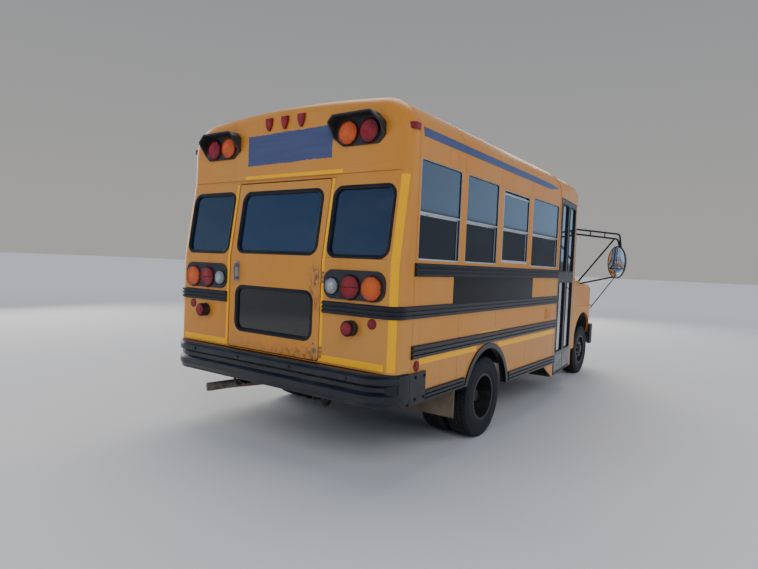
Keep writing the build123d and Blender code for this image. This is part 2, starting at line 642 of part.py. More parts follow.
def cab_shell():
    parts = []
    a_low = (COWL_Y + 10, BELT_Z)
    a_high = (HEADER_Y - 20, HEADER_Z)
    side = polygon((a_low[0], a_low[1]), (a_low[0] + PILLAR * 1.4, a_low[1]),
                   (a_high[0] + PILLAR * 1.4, a_high[1]), (a_high[0], a_high[1]))
    strip = polygon((HALF_CAB - 70, BELT_Z), (HALF_CAB, BELT_Z),
                    (HALF_CAB - TUMBLE, HEADER_Z), (HALF_CAB - TUMBLE - 70, HEADER_Z))
    a_pillar = along_x(side, 0, EVERYWHERE) & along_y(strip, -EVERYWHERE, EVERYWHERE)
    b_pillar = along_y(strip, CAB_BACK_Y - 60, CAB_BACK_Y)
    b_pillar += box(HALF_CAB - 70, HALF_CAB, CAB_BACK_Y - 60, CAB_BACK_Y, SILL_LOW, BELT_Z)
    sill = box(HALF_CAB - 90, HALF_CAB, COWL_Y + 10, CAB_BACK_Y, SILL_LOW, SILL_HIGH)
    cowl_side = box(HALF_CAB - 60, HALF_CAB, COWL_Y + 10, COWL_Y + 30, SILL_LOW, BELT_Z)
    left = b_pillar + sill + cowl_side
    for z in (700, 1150):
        left += box(HALF_CAB - 40, HALF_CAB - 10, COWL_Y + 29, COWL_Y + 30 + DOOR_GAP - SEAT_GAP,
                    z - 40, z + 40)
    header = box(-HALF_CAB + TUMBLE, HALF_CAB - TUMBLE, HEADER_Y - 20, HEADER_Y + 80, HEADER_Z, CAP_LOW)
    inner = HALF_CAB - 60
    firewall = box(-inner, inner, COWL_Y + 10, COWL_Y + 22, CAB_FLOOR_LOW, BELT_Z)
    cab_floor = box(-inner, inner, COWL_Y + 22, FRONT_POST_Y, CAB_FLOOR_LOW, CAB_FLOOR_TOP)
    cab_floor += box(DRIVER_ZONE_X, inner, FRONT_POST_Y, CAB_BACK_Y, CAB_FLOOR_LOW, CAB_FLOOR_TOP)
    riser = box(-STEP_WELL_INNER_X, DRIVER_ZONE_X, FRONT_POST_Y - 12, FRONT_POST_Y, CAB_FLOOR_TOP, FLOOR_TOP)
    riser += box(DRIVER_ZONE_X, DRIVER_ZONE_X + 12, FRONT_POST_Y - 12, CAB_BACK_Y, CAB_FLOOR_TOP, FLOOR_TOP)
    riser += box(DRIVER_ZONE_X, inner, CAB_BACK_Y - 12, CAB_BACK_Y, CAB_FLOOR_TOP, FLOOR_TOP)
    tunnel = box(-TUNNEL_HALF, TUNNEL_HALF, COWL_Y, TUNNEL_REAR_Y, 0, TUNNEL_TOP)
    cowl_top = box(-inner, inner, COWL_Y + 10, COWL_Y + 60, BELT_Z - 30, BELT_Z)
    right_panel = box(-HALF_CAB, -HALF_CAB + 60, COWL_Y + 10, FRONT_POST_Y, SILL_LOW, BELT_Z)
    right_post = mirrored(along_y(strip, FRONT_POST_Y - 50, FRONT_POST_Y))
    vision_pane = mirrored(Pos(-30, 0, 0) * (along_y(polygon(
        (HALF_CAB - 6, BELT_Z), (HALF_CAB, BELT_Z), (HALF_CAB - TUMBLE, HEADER_Z),
        (HALF_CAB - TUMBLE - 6, HEADER_Z)), COWL_Y + 30, FRONT_POST_Y - 50)))
    vision_pane -= mirrored(a_pillar)
    return_panel = box(-entrance_x(FRONT_POST_Y), -HALF_CAB + 60, FRONT_POST_Y - 6, FRONT_POST_Y,
                       SILL_LOW, CAP_LOW)
    parts += [a_pillar, mirrored(a_pillar), left, header, firewall, cab_floor, riser, cowl_top,
              right_panel, right_post, return_panel]
    body = parts[0]
    for part in parts[1:]:
        body += part
    return body - tunnel, vision_pane


def windshield():
    side = polygon((COWL_Y + 14, BELT_Z), (COWL_Y + 24, BELT_Z), (HEADER_Y - 6, HEADER_Z),
                   (HEADER_Y - 16, HEADER_Z))
    plan = polygon((-HALF_CAB + 70, BELT_Z), (HALF_CAB - 70, BELT_Z),
                   (HALF_CAB - TUMBLE - 70, HEADER_Z), (-HALF_CAB + TUMBLE + 70, HEADER_Z))
    return along_x(side, -EVERYWHERE, EVERYWHERE) & along_y(plan, -EVERYWHERE, EVERYWHERE)


def driver_door():
    y_low, y_high = COWL_Y + 30 + DOOR_GAP, CAB_BACK_Y - 60 - DOOR_GAP
    slab = box(HALF_CAB - 60, HALF_CAB, y_low, y_high, SILL_HIGH + DOOR_GAP, BELT_Z)
    strip = polygon((HALF_CAB - 50, BELT_Z), (HALF_CAB - 5, BELT_Z),
                    (HALF_CAB - 5 - TUMBLE, HEADER_Z - 20), (HALF_CAB - 50 - TUMBLE, HEADER_Z - 20))
    lean = (HEADER_Y - 30 - COWL_Y) / (HEADER_Z - BELT_Z)
    front_line = COWL_Y + 10 + PILLAR * 1.4 + DOOR_GAP
    points = [(front_line, BELT_Z), (y_high, BELT_Z), (y_high, HEADER_Z - 20),
              (front_line + lean * (HEADER_Z - 20 - BELT_Z), HEADER_Z - 20)]
    outline = polygon(*points)
    upper = along_x(outline, 0, EVERYWHERE) & along_y(strip, -EVERYWHERE, EVERYWHERE)
    hole_face = rounded_polygon([(points[0][0] + 75, BELT_Z + 20), (y_high - 45, BELT_Z + 20),
                                 (y_high - 45, HEADER_Z - 65), (points[3][0] + 20, HEADER_Z - 65)],
                                [20, 20, 30, 20])
    hole = along_x(hole_face, 0, EVERYWHERE)
    pane_strip = polygon((HALF_CAB - 30, BELT_Z), (HALF_CAB - 24, BELT_Z),
                         (HALF_CAB - 24 - TUMBLE, HEADER_Z - 20), (HALF_CAB - 30 - TUMBLE, HEADER_Z - 20))
    pane = along_y(pane_strip, -EVERYWHERE, EVERYWHERE) & hole
    return slab + (upper - hole), pane


# Bumpers
BUMPER_LOW = 545
BUMPER_HIGH = 785
BUMPER_SIDE = 22
BUMPER_WALL = 60
BUMPER_RADIUS = 250
BUMPER_RETURN_Y = station(1150)
BUMPER_JOINT_Y = station(1390)
RIBS_END_Y = station(1498)
# Bumper section: height above its lower edge, and how far it stands back from the crest of the ribs
BUMPER_SECTION = [(0, 16), (16, 14), (42, 0), (88, 0), (112, 26), (144, 26), (168, 0), (208, 0),
                  (228, 12), (240, 12)]
FRONT_BUMPER_SIDE = 14
FRONT_BUMPER_LOW = 430
FRONT_BUMPER_HIGH = 740


def bumper_plan(back):
    half = HALF_WIDTH + BUMPER_SIDE - back
    rear = REAR_Y - back
    points = [(-half, BUMPER_RETURN_Y - 10), (half, BUMPER_RETURN_Y - 10), (half, rear), (-half, rear)]
    return rounded_polygon(points, [0, 0, BUMPER_RADIUS - back, BUMPER_RADIUS - back])


def rear_bumper():
    """Two rounded ribs across the rear, plain rounded corners, and an end plate on each side."""
    levels = [Pos(0, 0, BUMPER_LOW + z) * bumper_plan(back) for z, back in BUMPER_SECTION]
    bar = loft(levels, ruled=True)
    corner = along_z(bumper_plan(0), BUMPER_LOW + BUMPER_SECTION[2][0] / 2, BUMPER_HIGH - 8)
    bar += corner & box(-EVERYWHERE, EVERYWHERE, BUMPER_JOINT_Y, RIBS_END_Y, BUMPER_LOW, BUMPER_HIGH)
    bar &= box(-EVERYWHERE, EVERYWHERE, BUMPER_JOINT_Y, REAR_Y + 1, BUMPER_LOW, BUMPER_HIGH)
    inner = rounded_polygon([(-HALF_WIDTH, BUMPER_RETURN_Y), (HALF_WIDTH, BUMPER_RETURN_Y),
                             (HALF_WIDTH, REAR_Y - BUMPER_WALL), (-HALF_WIDTH, REAR_Y - BUMPER_WALL)],
                            [0, 0, BUMPER_RADIUS - BUMPER_SIDE, BUMPER_RADIUS - BUMPER_SIDE])
    bar -= along_z(inner, BUMPER_LOW - 1, BUMPER_HIGH + 1)
    bar -= along_z(plan_face(-SEAT_GAP, BUMPER_RETURN_Y, REAR_FACE_Y), BUMPER_LOW - 1, BUMPER_HIGH + 1)
    end = box(HALF_WIDTH, HALF_WIDTH + BUMPER_SIDE, BUMPER_RETURN_Y, BUMPER_JOINT_Y - 4,
              BUMPER_LOW, BUMPER_HIGH - 8)
    end = chamfer(end.edges().filter_by(Axis.Z).group_by(Axis.Y)[0].sort_by(Axis.X)[-1], BUMPER_SIDE / 2)
    return [bar] + both_sides(end)


def front_bumper():
    half = HALF_CAB + FRONT_BUMPER_SIDE
    points = [(-half, cab_station(-401)), (-half, cab_station(-561)), (-half + 230, FRONT_Y),
              (half - 230, FRONT_Y), (half, cab_station(-561)), (half, cab_station(-401))]
    outer = rounded_polygon(points, [0, 120, 150, 150, 120, 0])
    bar = along_z(outer - clip_plan(-SEAT_GAP), FRONT_BUMPER_LOW, FRONT_BUMPER_HIGH)
    return bar


def grille_parts():
    low_x, high_x, low_z, high_z = GRILLE
    bars = along_y(rounded(*GRILLE, 20) - rounded(low_x + 22, high_x - 22, low_z + 22, high_z - 22, 10),
                   CLIP_FRONT_Y - 6, CLIP_FRONT_Y + 40)
    count = 9
    for index in range(1, count):
        x = low_x + (high_x - low_x) * index / count
        bars += box(x - 6, x + 6, CLIP_FRONT_Y + 4, CLIP_FRONT_Y + 34, low_z + 15, high_z - 15)
    bars += box(low_x + 10, high_x - 10, CLIP_FRONT_Y, CLIP_FRONT_Y + 36, 960, 984)
    return bars


# Lamps on the rear: colour, x and radius
LAMP_PLATE = (REAR_DOOR_HALF + 40, HALF_WIDTH - 99, 1287, 1505)
LAMP_PLATE_THICK = 10
LAMP_Z = 1380
TAIL_LAMPS = [("clear", HALF_WIDTH - 580, 60), ("red", HALF_WIDTH - 407, 87),
              ("amber", HALF_WIDTH - 213, 87)]
STOP_LAMP_X = HALF_WIDTH - 384
STOP_LAMP_Z = 1083
REFLECTOR_X = HALF_WIDTH - 204
REFLECTOR_Z = 1129
REFLECTOR_RADIUS = 38

# Warning lamps in hooded housings, on the rear cap and over the windshield.
# The housing's outline: x and z from the middle between its two lamps, and corner radius
WARNING_SPACING = 196
WARNING_RADIUS = 86
WARNING_X = HALF_WIDTH - 448
WARNING_Z = ROOF_PEAK - 302
FRONT_WARNING_X = HALF_CAB - 330
FRONT_WARNING_Z = ROOF_PEAK - 400
HOUSING_POINTS = [(-237, -33, 20), (-150, -95, 45), (180, -95, 45), (236, -40, 20), (236, 52, 30),
                  (160, 128, 30), (-190, 128, 30), (-237, 85, 20)]
HOUSING_PLATE = 12
VISOR_SHEET = 14
VISOR_DEPTH = 100

# Small lamps over the rear window and the cab: a shield outline, x and z from its middle
SHIELD = [(-37, 45, 8), (-37, 5, 30), (-12, -58, 10), (12, -58, 10), (37, 5, 30), (37, 45, 8)]
SHIELD_SPACING = 182
SHIELD_Z = ROOF_PEAK - 140
SHIELD_DEPTH = 26
FRONT_WARNING_Y = CAP_NOSE_Y + 165
FRONT_SHIELD_Y = CAP_NOSE_Y + 480
FRONT_SHIELD_Z = ROOF_PEAK - 190
MARKER = (station(1362), station(1442), SHOULDER_Z + 38, SHOULDER_Z + 88)
SIDE_REFLECTOR_Y = station(1274)
SIDE_REFLECTOR_Z = 823


def lamp(x, z, radius, face_y, depth, outwards=1):
    disc = Circle(radius)
    body = extrude(disc, depth)
    body = chamfer(body.edges().group_by(Axis.Z)[-1], min(depth * 0.8, radius * 0.35))
    turn = Rot(-90, 0, 0) if outwards > 0 else Rot(90, 0, 0)
    return Pos(x, face_y, z) * turn * body


def outline(points, scale=1):
    places = [(scale * x, z) for x, z, _ in points]
    return rounded_polygon(places, [radius for _, _, radius in points])


def warning_pair(x, z, wall_y, side, outwards):
    """One housing with its amber lamp inboard and its red lamp outboard; side is +1 on the left."""
    face = outline(HOUSING_POINTS, side)
    inner = offset(face, -VISOR_SHEET)
    place = Pos(x, z)
    near, far = sorted((wall_y, wall_y + outwards * HOUSING_PLATE))
    housing = along_y(place * face, near, far)
    near, far = sorted((wall_y, wall_y + outwards * VISOR_DEPTH))
    visor = along_y(place * (face - inner), near, far)
    lip = wall_y + outwards * HOUSING_PLATE
    tip = wall_y + outwards * (VISOR_DEPTH + 2)
    visor -= along_x(polygon((lip, z - 200), (tip, z - 200), (tip, z + 70), (lip, z - 45)),
                     -EVERYWHERE, EVERYWHERE)
    amber = lamp(x - side * WARNING_SPACING / 2, z, WARNING_RADIUS, lip, 34, outwards)
    red = lamp(x + side * WARNING_SPACING / 2, z, WARNING_RADIUS, lip, 34, outwards)
    return housing + visor, amber, red


def shield_lamp(x, z, near_y, far_y):
    return along_y(Pos(x, z) * outline(SHIELD), near_y, far_y)


def lamps():
    red, amber, clear, housings = [], [], [], []
    plate = along_y(rounded(*LAMP_PLATE, 85), REAR_FACE_Y, REAR_FACE_Y + LAMP_PLATE_THICK)
    housings += both_sides(plate)
    lists = {"red": red, "amber": amber, "clear": clear}
    face = REAR_FACE_Y + LAMP_PLATE_THICK
    for colour, x, radius in TAIL_LAMPS:
        lists[colour] += both_sides(lamp(x, LAMP_Z, radius, face, 26))
    housings += both_sides(cylinder_y(STOP_LAMP_X, REAR_FACE_Y, REAR_FACE_Y + 60, STOP_LAMP_Z, 58))
    red += both_sides(lamp(STOP_LAMP_X, STOP_LAMP_Z, 50, REAR_FACE_Y + 60, 18))
    red += both_sides(lamp(REFLECTOR_X, REFLECTOR_Z, REFLECTOR_RADIUS, REAR_FACE_Y, 8))
    cap = cap_solid(0)
    for side in (1, -1):
        housing, amber_lamp, red_lamp = warning_pair(side * WARNING_X, WARNING_Z, REAR_CAP_Y, side, 1)
        housings.append(housing)
        amber.append(amber_lamp)
        red.append(red_lamp)
        x, y, z = side * FRONT_WARNING_X, FRONT_WARNING_Y, FRONT_WARNING_Z
        housing, amber_lamp, red_lamp = warning_pair(x, z, y, side, -1)
        base = along_y(Pos(x, z) * outline(HOUSING_POINTS, side), y - 1, y + 400) - cap
        front_base = base.solids().sort_by(Axis.Y)[0]
        housings.append(housing + front_base - cap)
        amber.append(amber_lamp)
        red.append(red_lamp)
    for x in (-SHIELD_SPACING, 0, SHIELD_SPACING):
        red.append(shield_lamp(x, SHIELD_Z, REAR_CAP_Y, REAR_CAP_Y + SHIELD_DEPTH))
        front = shield_lamp(x, FRONT_SHIELD_Z, FRONT_SHIELD_Y, FRONT_SHIELD_Y + 400) - cap
        amber.append(front.solids().sort_by(Axis.Y)[0])
    y_low, y_high, z_low, z_high = MARKER
    marker = box(HALF_WIDTH - 60, HALF_WIDTH + 12, y_low, y_high, z_low, z_high)
    red += both_sides(marker - SHELL_OUTER)
    red += both_sides(cylinder_x(HALF_WIDTH, HALF_WIDTH + 10, SIDE_REFLECTOR_Y, SIDE_REFLECTOR_Z,
                                 REFLECTOR_RADIUS))
    return red, amber, clear, housings


# Chassis


def channel(x_web, side, y_low, y_high):
    """Frame rail: a C channel, its flanges pointing to the middle."""
    web = box(min(x_web, x_web - side * RAIL_WEB), max(x_web, x_web - side * RAIL_WEB),
              y_low, y_high, RAIL_LOW, RAIL_HIGH)
    low, high = sorted((x_web, x_web - side * RAIL_FLANGE))
    for z in (RAIL_LOW, RAIL_HIGH - RAIL_WEB):
        web += box(low, high, y_low, y_high, z, z + RAIL_WEB)
    return web


FRAME_FRONT_Y = cab_station(-621)
FRAME_REAR_Y = station(1500)
CROSS_MEMBERS = [FRAME_FRONT_Y + 50, cab_station(1739), station(-1000), station(700), FRAME_REAR_Y - 50]
OUTRIGGERS = [station(-1500), station(-600), station(500), station(1300)]
CROSS_LOW = 600
CROSS_HIGH = 660
HOOK_X = 515
HOOK_RADIUS = 14


def tow_hook():
    """A bent bar under the rear of the frame, on a plate from the rail."""
    y = station(1431)
    bar = tube([(HOOK_X, y - 120, 548), (HOOK_X, y + 30, 548), (HOOK_X, y + 52, 470), (HOOK_X, y, 424),
                (HOOK_X, y - 42, 462)], HOOK_RADIUS, [30, 34, 30])
    return bar + box(RAIL_X - RAIL_WEB, HOOK_X + HOOK_RADIUS, y - 120, y - 40, 540, 556)


def chassis_frame():
    y_low, y_high = FRAME_FRONT_Y, FRAME_REAR_Y
    frame = channel(RAIL_X, 1, y_low, y_high) + channel(-RAIL_X, -1, y_low, y_high)
    for y in CROSS_MEMBERS:
        frame += box(-RAIL_X + RAIL_WEB / 2, RAIL_X - RAIL_WEB / 2, y - 40, y + 40, CROSS_LOW, CROSS_HIGH)
    for y in OUTRIGGERS:
        frame += box(-HALF_WIDTH + WALL + 5, HALF_WIDTH - WALL - 5, y - 25, y + 25,
                     RAIL_HIGH, FLOOR_TOP - FLOOR_THICK)
    bracket = box(RAIL_X - RAIL_WEB - 60, RAIL_X - RAIL_WEB, y_high - 120, REAR_Y - BUMPER_WALL,
                  BUMPER_LOW + 15, BUMPER_LOW + 75)
    for piece in both_sides(bracket + tow_hook()):
        frame += piece
    return frame


AXLE_RADIUS = 50
DRUM_RADIUS = 165
DUAL_HUB_HALF = 35


def rear_axle():
    tube_half = REAR_TRACK / 2 - 2 * DUAL_HUB_HALF - SEAT_GAP
    axle = cylinder_x(-tube_half, tube_half, REAR_AXLE_Y, TYRE_RADIUS, AXLE_RADIUS)
    axle += Pos(0, REAR_AXLE_Y, TYRE_RADIUS) * Sphere(165)
    drum = cylinder_x(tube_half - 150, tube_half - 20, REAR_AXLE_Y, TYRE_RADIUS, DRUM_RADIUS)
    for piece in both_sides(drum):
        axle += piece
    axle += cylinder_y(0, REAR_AXLE_Y - 260, REAR_AXLE_Y, TYRE_RADIUS + 10, 60)
    return axle


ENGINE_HALF = 210
SHAFT_RADIUS = 45


def powertrain():
    engine = box(-ENGINE_HALF, ENGINE_HALF, cab_station(-501), cab_station(219), 470, 1120)
    gearbox = cylinder_y(0, cab_station(219), cab_station(989), 555, 115)
    shaft_from = cab_station(979)
    nose = TYRE_RADIUS + 10
    shaft = tube([(0, shaft_from, 555), (0, REAR_AXLE_Y - 280, nose)], SHAFT_RADIUS, 1)
    shaft += cylinder_y(0, REAR_AXLE_Y - 310, REAR_AXLE_Y - 260 - SEAT_GAP, nose, SHAFT_RADIUS + 12)
    mount = box(ENGINE_HALF - 1, RAIL_X - RAIL_WEB, cab_station(-161), cab_station(-61), 560, 600)
    for piece in both_sides(mount):
        engine += piece
    return [engine + gearbox + shaft]


KNUCKLE_X = 735
HUB_HALF = 35
SPRING_X = 520
SPRING_HALF_WIDTH = 35
LEAVES = [(700, 0), (520, 14), (340, 28)]
LEAF_SHEET = 14
ARM_LOW = 290
ARM_HIGH = 330
KNUCKLE_TOP = 515


def suspension():
    parts = []
    seat = TYRE_RADIUS + AXLE_RADIUS + SEAT_GAP + LEAVES[-1][1]
    for side in (1, -1):
        x = side * SPRING_X
        spring = None
        for half, drop in LEAVES:
            low = seat - drop
            arch = 45 * half / LEAVES[0][0]
            points = [(station(-half), low + arch), (station(0), low), (station(half), low + arch),
                      (station(half), low + arch + LEAF_SHEET), (station(0), low + LEAF_SHEET),
                      (station(-half), low + arch + LEAF_SHEET)]
            strip = along_x(polygon(*points), x - SPRING_HALF_WIDTH, x + SPRING_HALF_WIDTH)
            spring = strip if spring is None else spring + strip
        low, high = sorted((side * RAIL_X, x + side * SPRING_HALF_WIDTH))
        for end in (-LEAVES[0][0], LEAVES[0][0] - 60):
            spring += box(low, high, station(end), station(end + 60), seat + 45, RAIL_HIGH - 60)
        parts.append(spring)
    cradle = box(-330, 330, FRONT_AXLE_Y - 90, FRONT_AXLE_Y + 90, ARM_LOW, 430)
    for side in (1, -1):
        low, high = sorted((side * 300, side * RAIL_X))
        cradle += box(low, high, FRONT_AXLE_Y - 90, FRONT_AXLE_Y + 90, 400, RAIL_LOW)
        low, high = sorted((side * 320, side * (KNUCKLE_X + 30)))
        cradle += box(low, high, FRONT_AXLE_Y - 50, FRONT_AXLE_Y + 50, ARM_LOW, ARM_HIGH)
        low, high = sorted((side * RAIL_X, side * (KNUCKLE_X + 25)))
        parts.append(box(low, high, FRONT_AXLE_Y - 40, FRONT_AXLE_Y + 40,
                         KNUCKLE_TOP + SEAT_GAP, KNUCKLE_TOP + 30))
    parts.append(cradle)
    return parts


def exhaust():
    muffler = cylinder_y(245, station(-1700), station(-900), 385, 105)
    pipe = tube([(245, station(-905), 385), (245, station(-520), 400), (245, station(-280), 520),
                 (245, station(280), 520), (245, station(640), 425), (480, station(1050), 422),
                 (690, station(1380), 400), (787, station(1565), 383)], 38, [90, 90, 90, 90, 120, 120])
    hanger = box(235, 255, station(-1006), station(-994), 480, CROSS_LOW)
    hanger += box(235, 255, station(694), station(706), 455, CROSS_LOW)
    return [muffler + pipe + hanger]


def mud_flaps():
    outer = HALF_WIDTH - WALL - 9
    flap = box(740, outer + 35, station(585), station(595), 290, SKIRT_Z - 4)
    flap += box(760, outer, station(585), station(595), SKIRT_Z - 5, FLOOR_TOP - FLOOR_THICK)
    return both_sides(flap)


# Wheels: tyre section and dished steel rim

TREAD_DROP = 10
SIDEWALL_RADIUS = 300
BEAD_RADIUS = RIM_RADIUS - 8
TYRE_SIDES = 48


def tyre(x_centre, y):
    """A tyre in flat facets: bead, bulging sidewall, shoulder and tread, seated on a flat."""
    half = TYRE_WIDTH / 2
    outer_half = [(half - 34, TYRE_RADIUS), (half - 16, TYRE_RADIUS - TREAD_DROP), (half, SIDEWALL_RADIUS),
                  (half - 18, BEAD_RADIUS)]
    profile = outer_half + [(-offset_x, radius) for offset_x, radius in reversed(outer_half)]
    step = 2 * pi / TYRE_SIDES
    rings = []
    for offset_x, radius in profile:
        corner = radius / cos(step / 2)
        angles = [step * (index + 0.5) for index in range(TYRE_SIDES)]
        rings.append([Vector(x_centre + offset_x, y + corner * sin(a), TYRE_RADIUS + corner * cos(a))
                      for a in angles])
    facets = []
    for ring, following in zip(rings, rings[1:] + rings[:1]):
        for index in range(TYRE_SIDES):
            after = (index + 1) % TYRE_SIDES
            corners = [ring[index], ring[after], following[after], following[index]]
            facets.append(Face(Wire.make_polygon(corners)))
    return Solid(Shell(facets))


FLANGE_SHEET = 6
DISC_SHEET = 12
HAND_HOLES = 6


def rim(x_centre, y, side, dish, hub_out):
    """Rim barrel with flanges and disc; dish is how far the disc sits outboard of the middle."""
    half = TYRE_WIDTH / 2 - 10
    barrel = Cylinder(BEAD_RADIUS - SEAT_GAP, 2 * half) - Cylinder(RIM_RADIUS - 22, 2 * half + 2)
    for end in (-half + FLANGE_SHEET / 2, half - FLANGE_SHEET / 2):
        barrel += Pos(0, 0, end) * (Cylinder(RIM_RADIUS, FLANGE_SHEET) - Cylinder(RIM_RADIUS - 22, 2 * half))
    disc = Pos(0, 0, dish) * Cylinder(RIM_RADIUS - 20, DISC_SHEET)
    for index in range(HAND_HOLES):
        turn = Rot(0, 0, 360 * (index + 0.5) / HAND_HOLES)
        disc -= Pos(0, 0, dish) * turn * Pos(150, 0, 0) * Cylinder(22, 2 * DISC_SHEET)
    hub = Pos(0, 0, dish) * Cylinder(75, 2 * HUB_HALF)
    cap = Pos(0, 0, dish + HUB_HALF - 1) * Cylinder(
        52, hub_out, align=(Align.CENTER, Align.CENTER, Align.MIN))
    wheel = barrel + disc + hub + cap
    return Pos(x_centre, y, TYRE_RADIUS) * Rot(0, 90 * side, 0) * wheel


FRONT_DISH = 60
FRONT_HUB_OUT = 18
REAR_HUB_OUT = 90
KNUCKLE_RADIUS = 36


def knuckle(side):
    hub_face = FRONT_TRACK / 2 + FRONT_DISH - HUB_HALF - SEAT_GAP
    post = cylinder_z(side * KNUCKLE_X, FRONT_AXLE_Y, ARM_HIGH + SEAT_GAP, KNUCKLE_TOP, KNUCKLE_RADIUS)
    low, high = sorted((side * KNUCKLE_X, side * hub_face))
    spindle = cylinder_x(low, high, FRONT_AXLE_Y, TYRE_RADIUS, 42)
    low, high = sorted((side * (hub_face - 50), side * (hub_face - 22)))
    disc = cylinder_x(low, high, FRONT_AXLE_Y, TYRE_RADIUS, 150)
    return post + spindle + disc


# Cabin
BENCH_WIDTH = 900
BENCH_DEPTH = 380
BENCH_PITCH = 760
BENCH_FIRST = station(1330)
BENCH_ROWS = 4
CUSHION_Z = FLOOR_TOP + 330
BACK_TOP = FLOOR_TOP + 950


def benches():
    frames, pads = [], []
    wall = HALF_WIDTH - WALL
    inner = wall - 15
    for row in range(BENCH_ROWS):
        back_y = BENCH_FIRST - row * BENCH_PITCH
        for side in (1, -1):
            low, high = sorted((side * (inner - BENCH_WIDTH), side * inner))
            frame_low, frame_high = sorted((side * (inner - BENCH_WIDTH + 20), side * wall))
            top = CUSHION_Z - SEAT_GAP
            frame = box(frame_low, frame_high, back_y - BENCH_DEPTH + 30, back_y + 74, top - 22, top)
            frame += box(low + 20, high - 20, back_y + 62 + SEAT_GAP, back_y + 74, top - 22, BACK_TOP - 60)
            aisle = side * (inner - BENCH_WIDTH + 90)
            for y in (back_y - BENCH_DEPTH + 60, back_y + 40):
                frame += cylinder_z(aisle, y, FLOOR_TOP, top - 10, 14)
            frames.append(frame)
            cushion = box(low, high, back_y - BENCH_DEPTH, back_y - 10 - SEAT_GAP, CUSHION_Z, CUSHION_Z + 110)
            back = box(low, high, back_y - 10, back_y + 62, CUSHION_Z, BACK_TOP)
            pads += [cushion, back]
    return frames, pads


def driver_seat():
    x, y = DRIVER_X, cab_station(1169)
    base = box(x - 180, x + 200, y - 230, y + 160, CAB_FLOOR_TOP, 880)
    cushion = box(x - 250, x + 250, y - 270, y + 190, 880 + SEAT_GAP, 1000)
    back = Pos(x, y + 215, 1321) * Rot(-10, 0, 0) * Box(470, 110, 640)
    back -= cushion
    return base, [cushion, back]


def dashboard():
    dash = box(-HALF_CAB + 95, HALF_CAB - 95, COWL_Y + 22, COWL_Y + 300, 1050, 1330)
    column = tube([(DRIVER_X, COWL_Y + 280, 1180), (DRIVER_X, COWL_Y + 445, 1285)], 28, 1)
    wheel = Pos(DRIVER_X, COWL_Y + 450, 1290) * Rot(-62, 0, 0) * Torus(200, 16)
    spokes = Pos(DRIVER_X, COWL_Y + 450, 1290) * Rot(-62, 0, 0) * Box(390, 40, 14)
    cover_half = TUNNEL_HALF - SEAT_GAP
    cover = box(-cover_half, cover_half, COWL_Y + 22, TUNNEL_REAR_Y - SEAT_GAP, CAB_FLOOR_LOW, TUNNEL_TOP)
    cover = fillet(cover.edges().group_by(Axis.Z)[-1].sort_by(Axis.Y)[-1], 90)
    cover -= box(-TUNNEL_HALF + 15, TUNNEL_HALF - 15, COWL_Y, TUNNEL_REAR_Y - 15, 0, TUNNEL_TOP - 100)
    return [dash + column + wheel + spokes + cover]


def barriers():
    out = []
    inner = HALF_WIDTH - WALL - 15
    for side in (1, -1):
        low, high = sorted((side * (inner - BENCH_WIDTH), side * (HALF_WIDTH - WALL)))
        y = BOW_Y + 40
        out.append(box(low, high, y, y + 40, FLOOR_TOP, BACK_TOP))
    return out


# Mirrors: double rail arm, strut, head with flat and convex glass
MIRROR_X = HALF_CAB + 520
MIRROR_Y = cab_station(339)
MIRROR_LOW = CAP_LOW - 565
MIRROR_HIGH = CAP_LOW - 100
MIRROR_SPLIT = 0.34
MIRROR_HALF = 122
MIRROR_DEPTH = 90
ARM_RADIUS = 13
RUNG_RADIUS = 8


def mirror_face(inset, low_share, high_share):
    """The part of the head's oval between two shares of its height."""
    height = MIRROR_HIGH - MIRROR_LOW
    oval = Pos(MIRROR_X, MIRROR_LOW + height / 2) * Ellipse(MIRROR_HALF - inset, height / 2 - inset)
    band = Pos(MIRROR_X, MIRROR_LOW + height * (low_share + high_share) / 2) * Rectangle(
        4 * MIRROR_HALF, height * (high_share - low_share))
    return oval & band


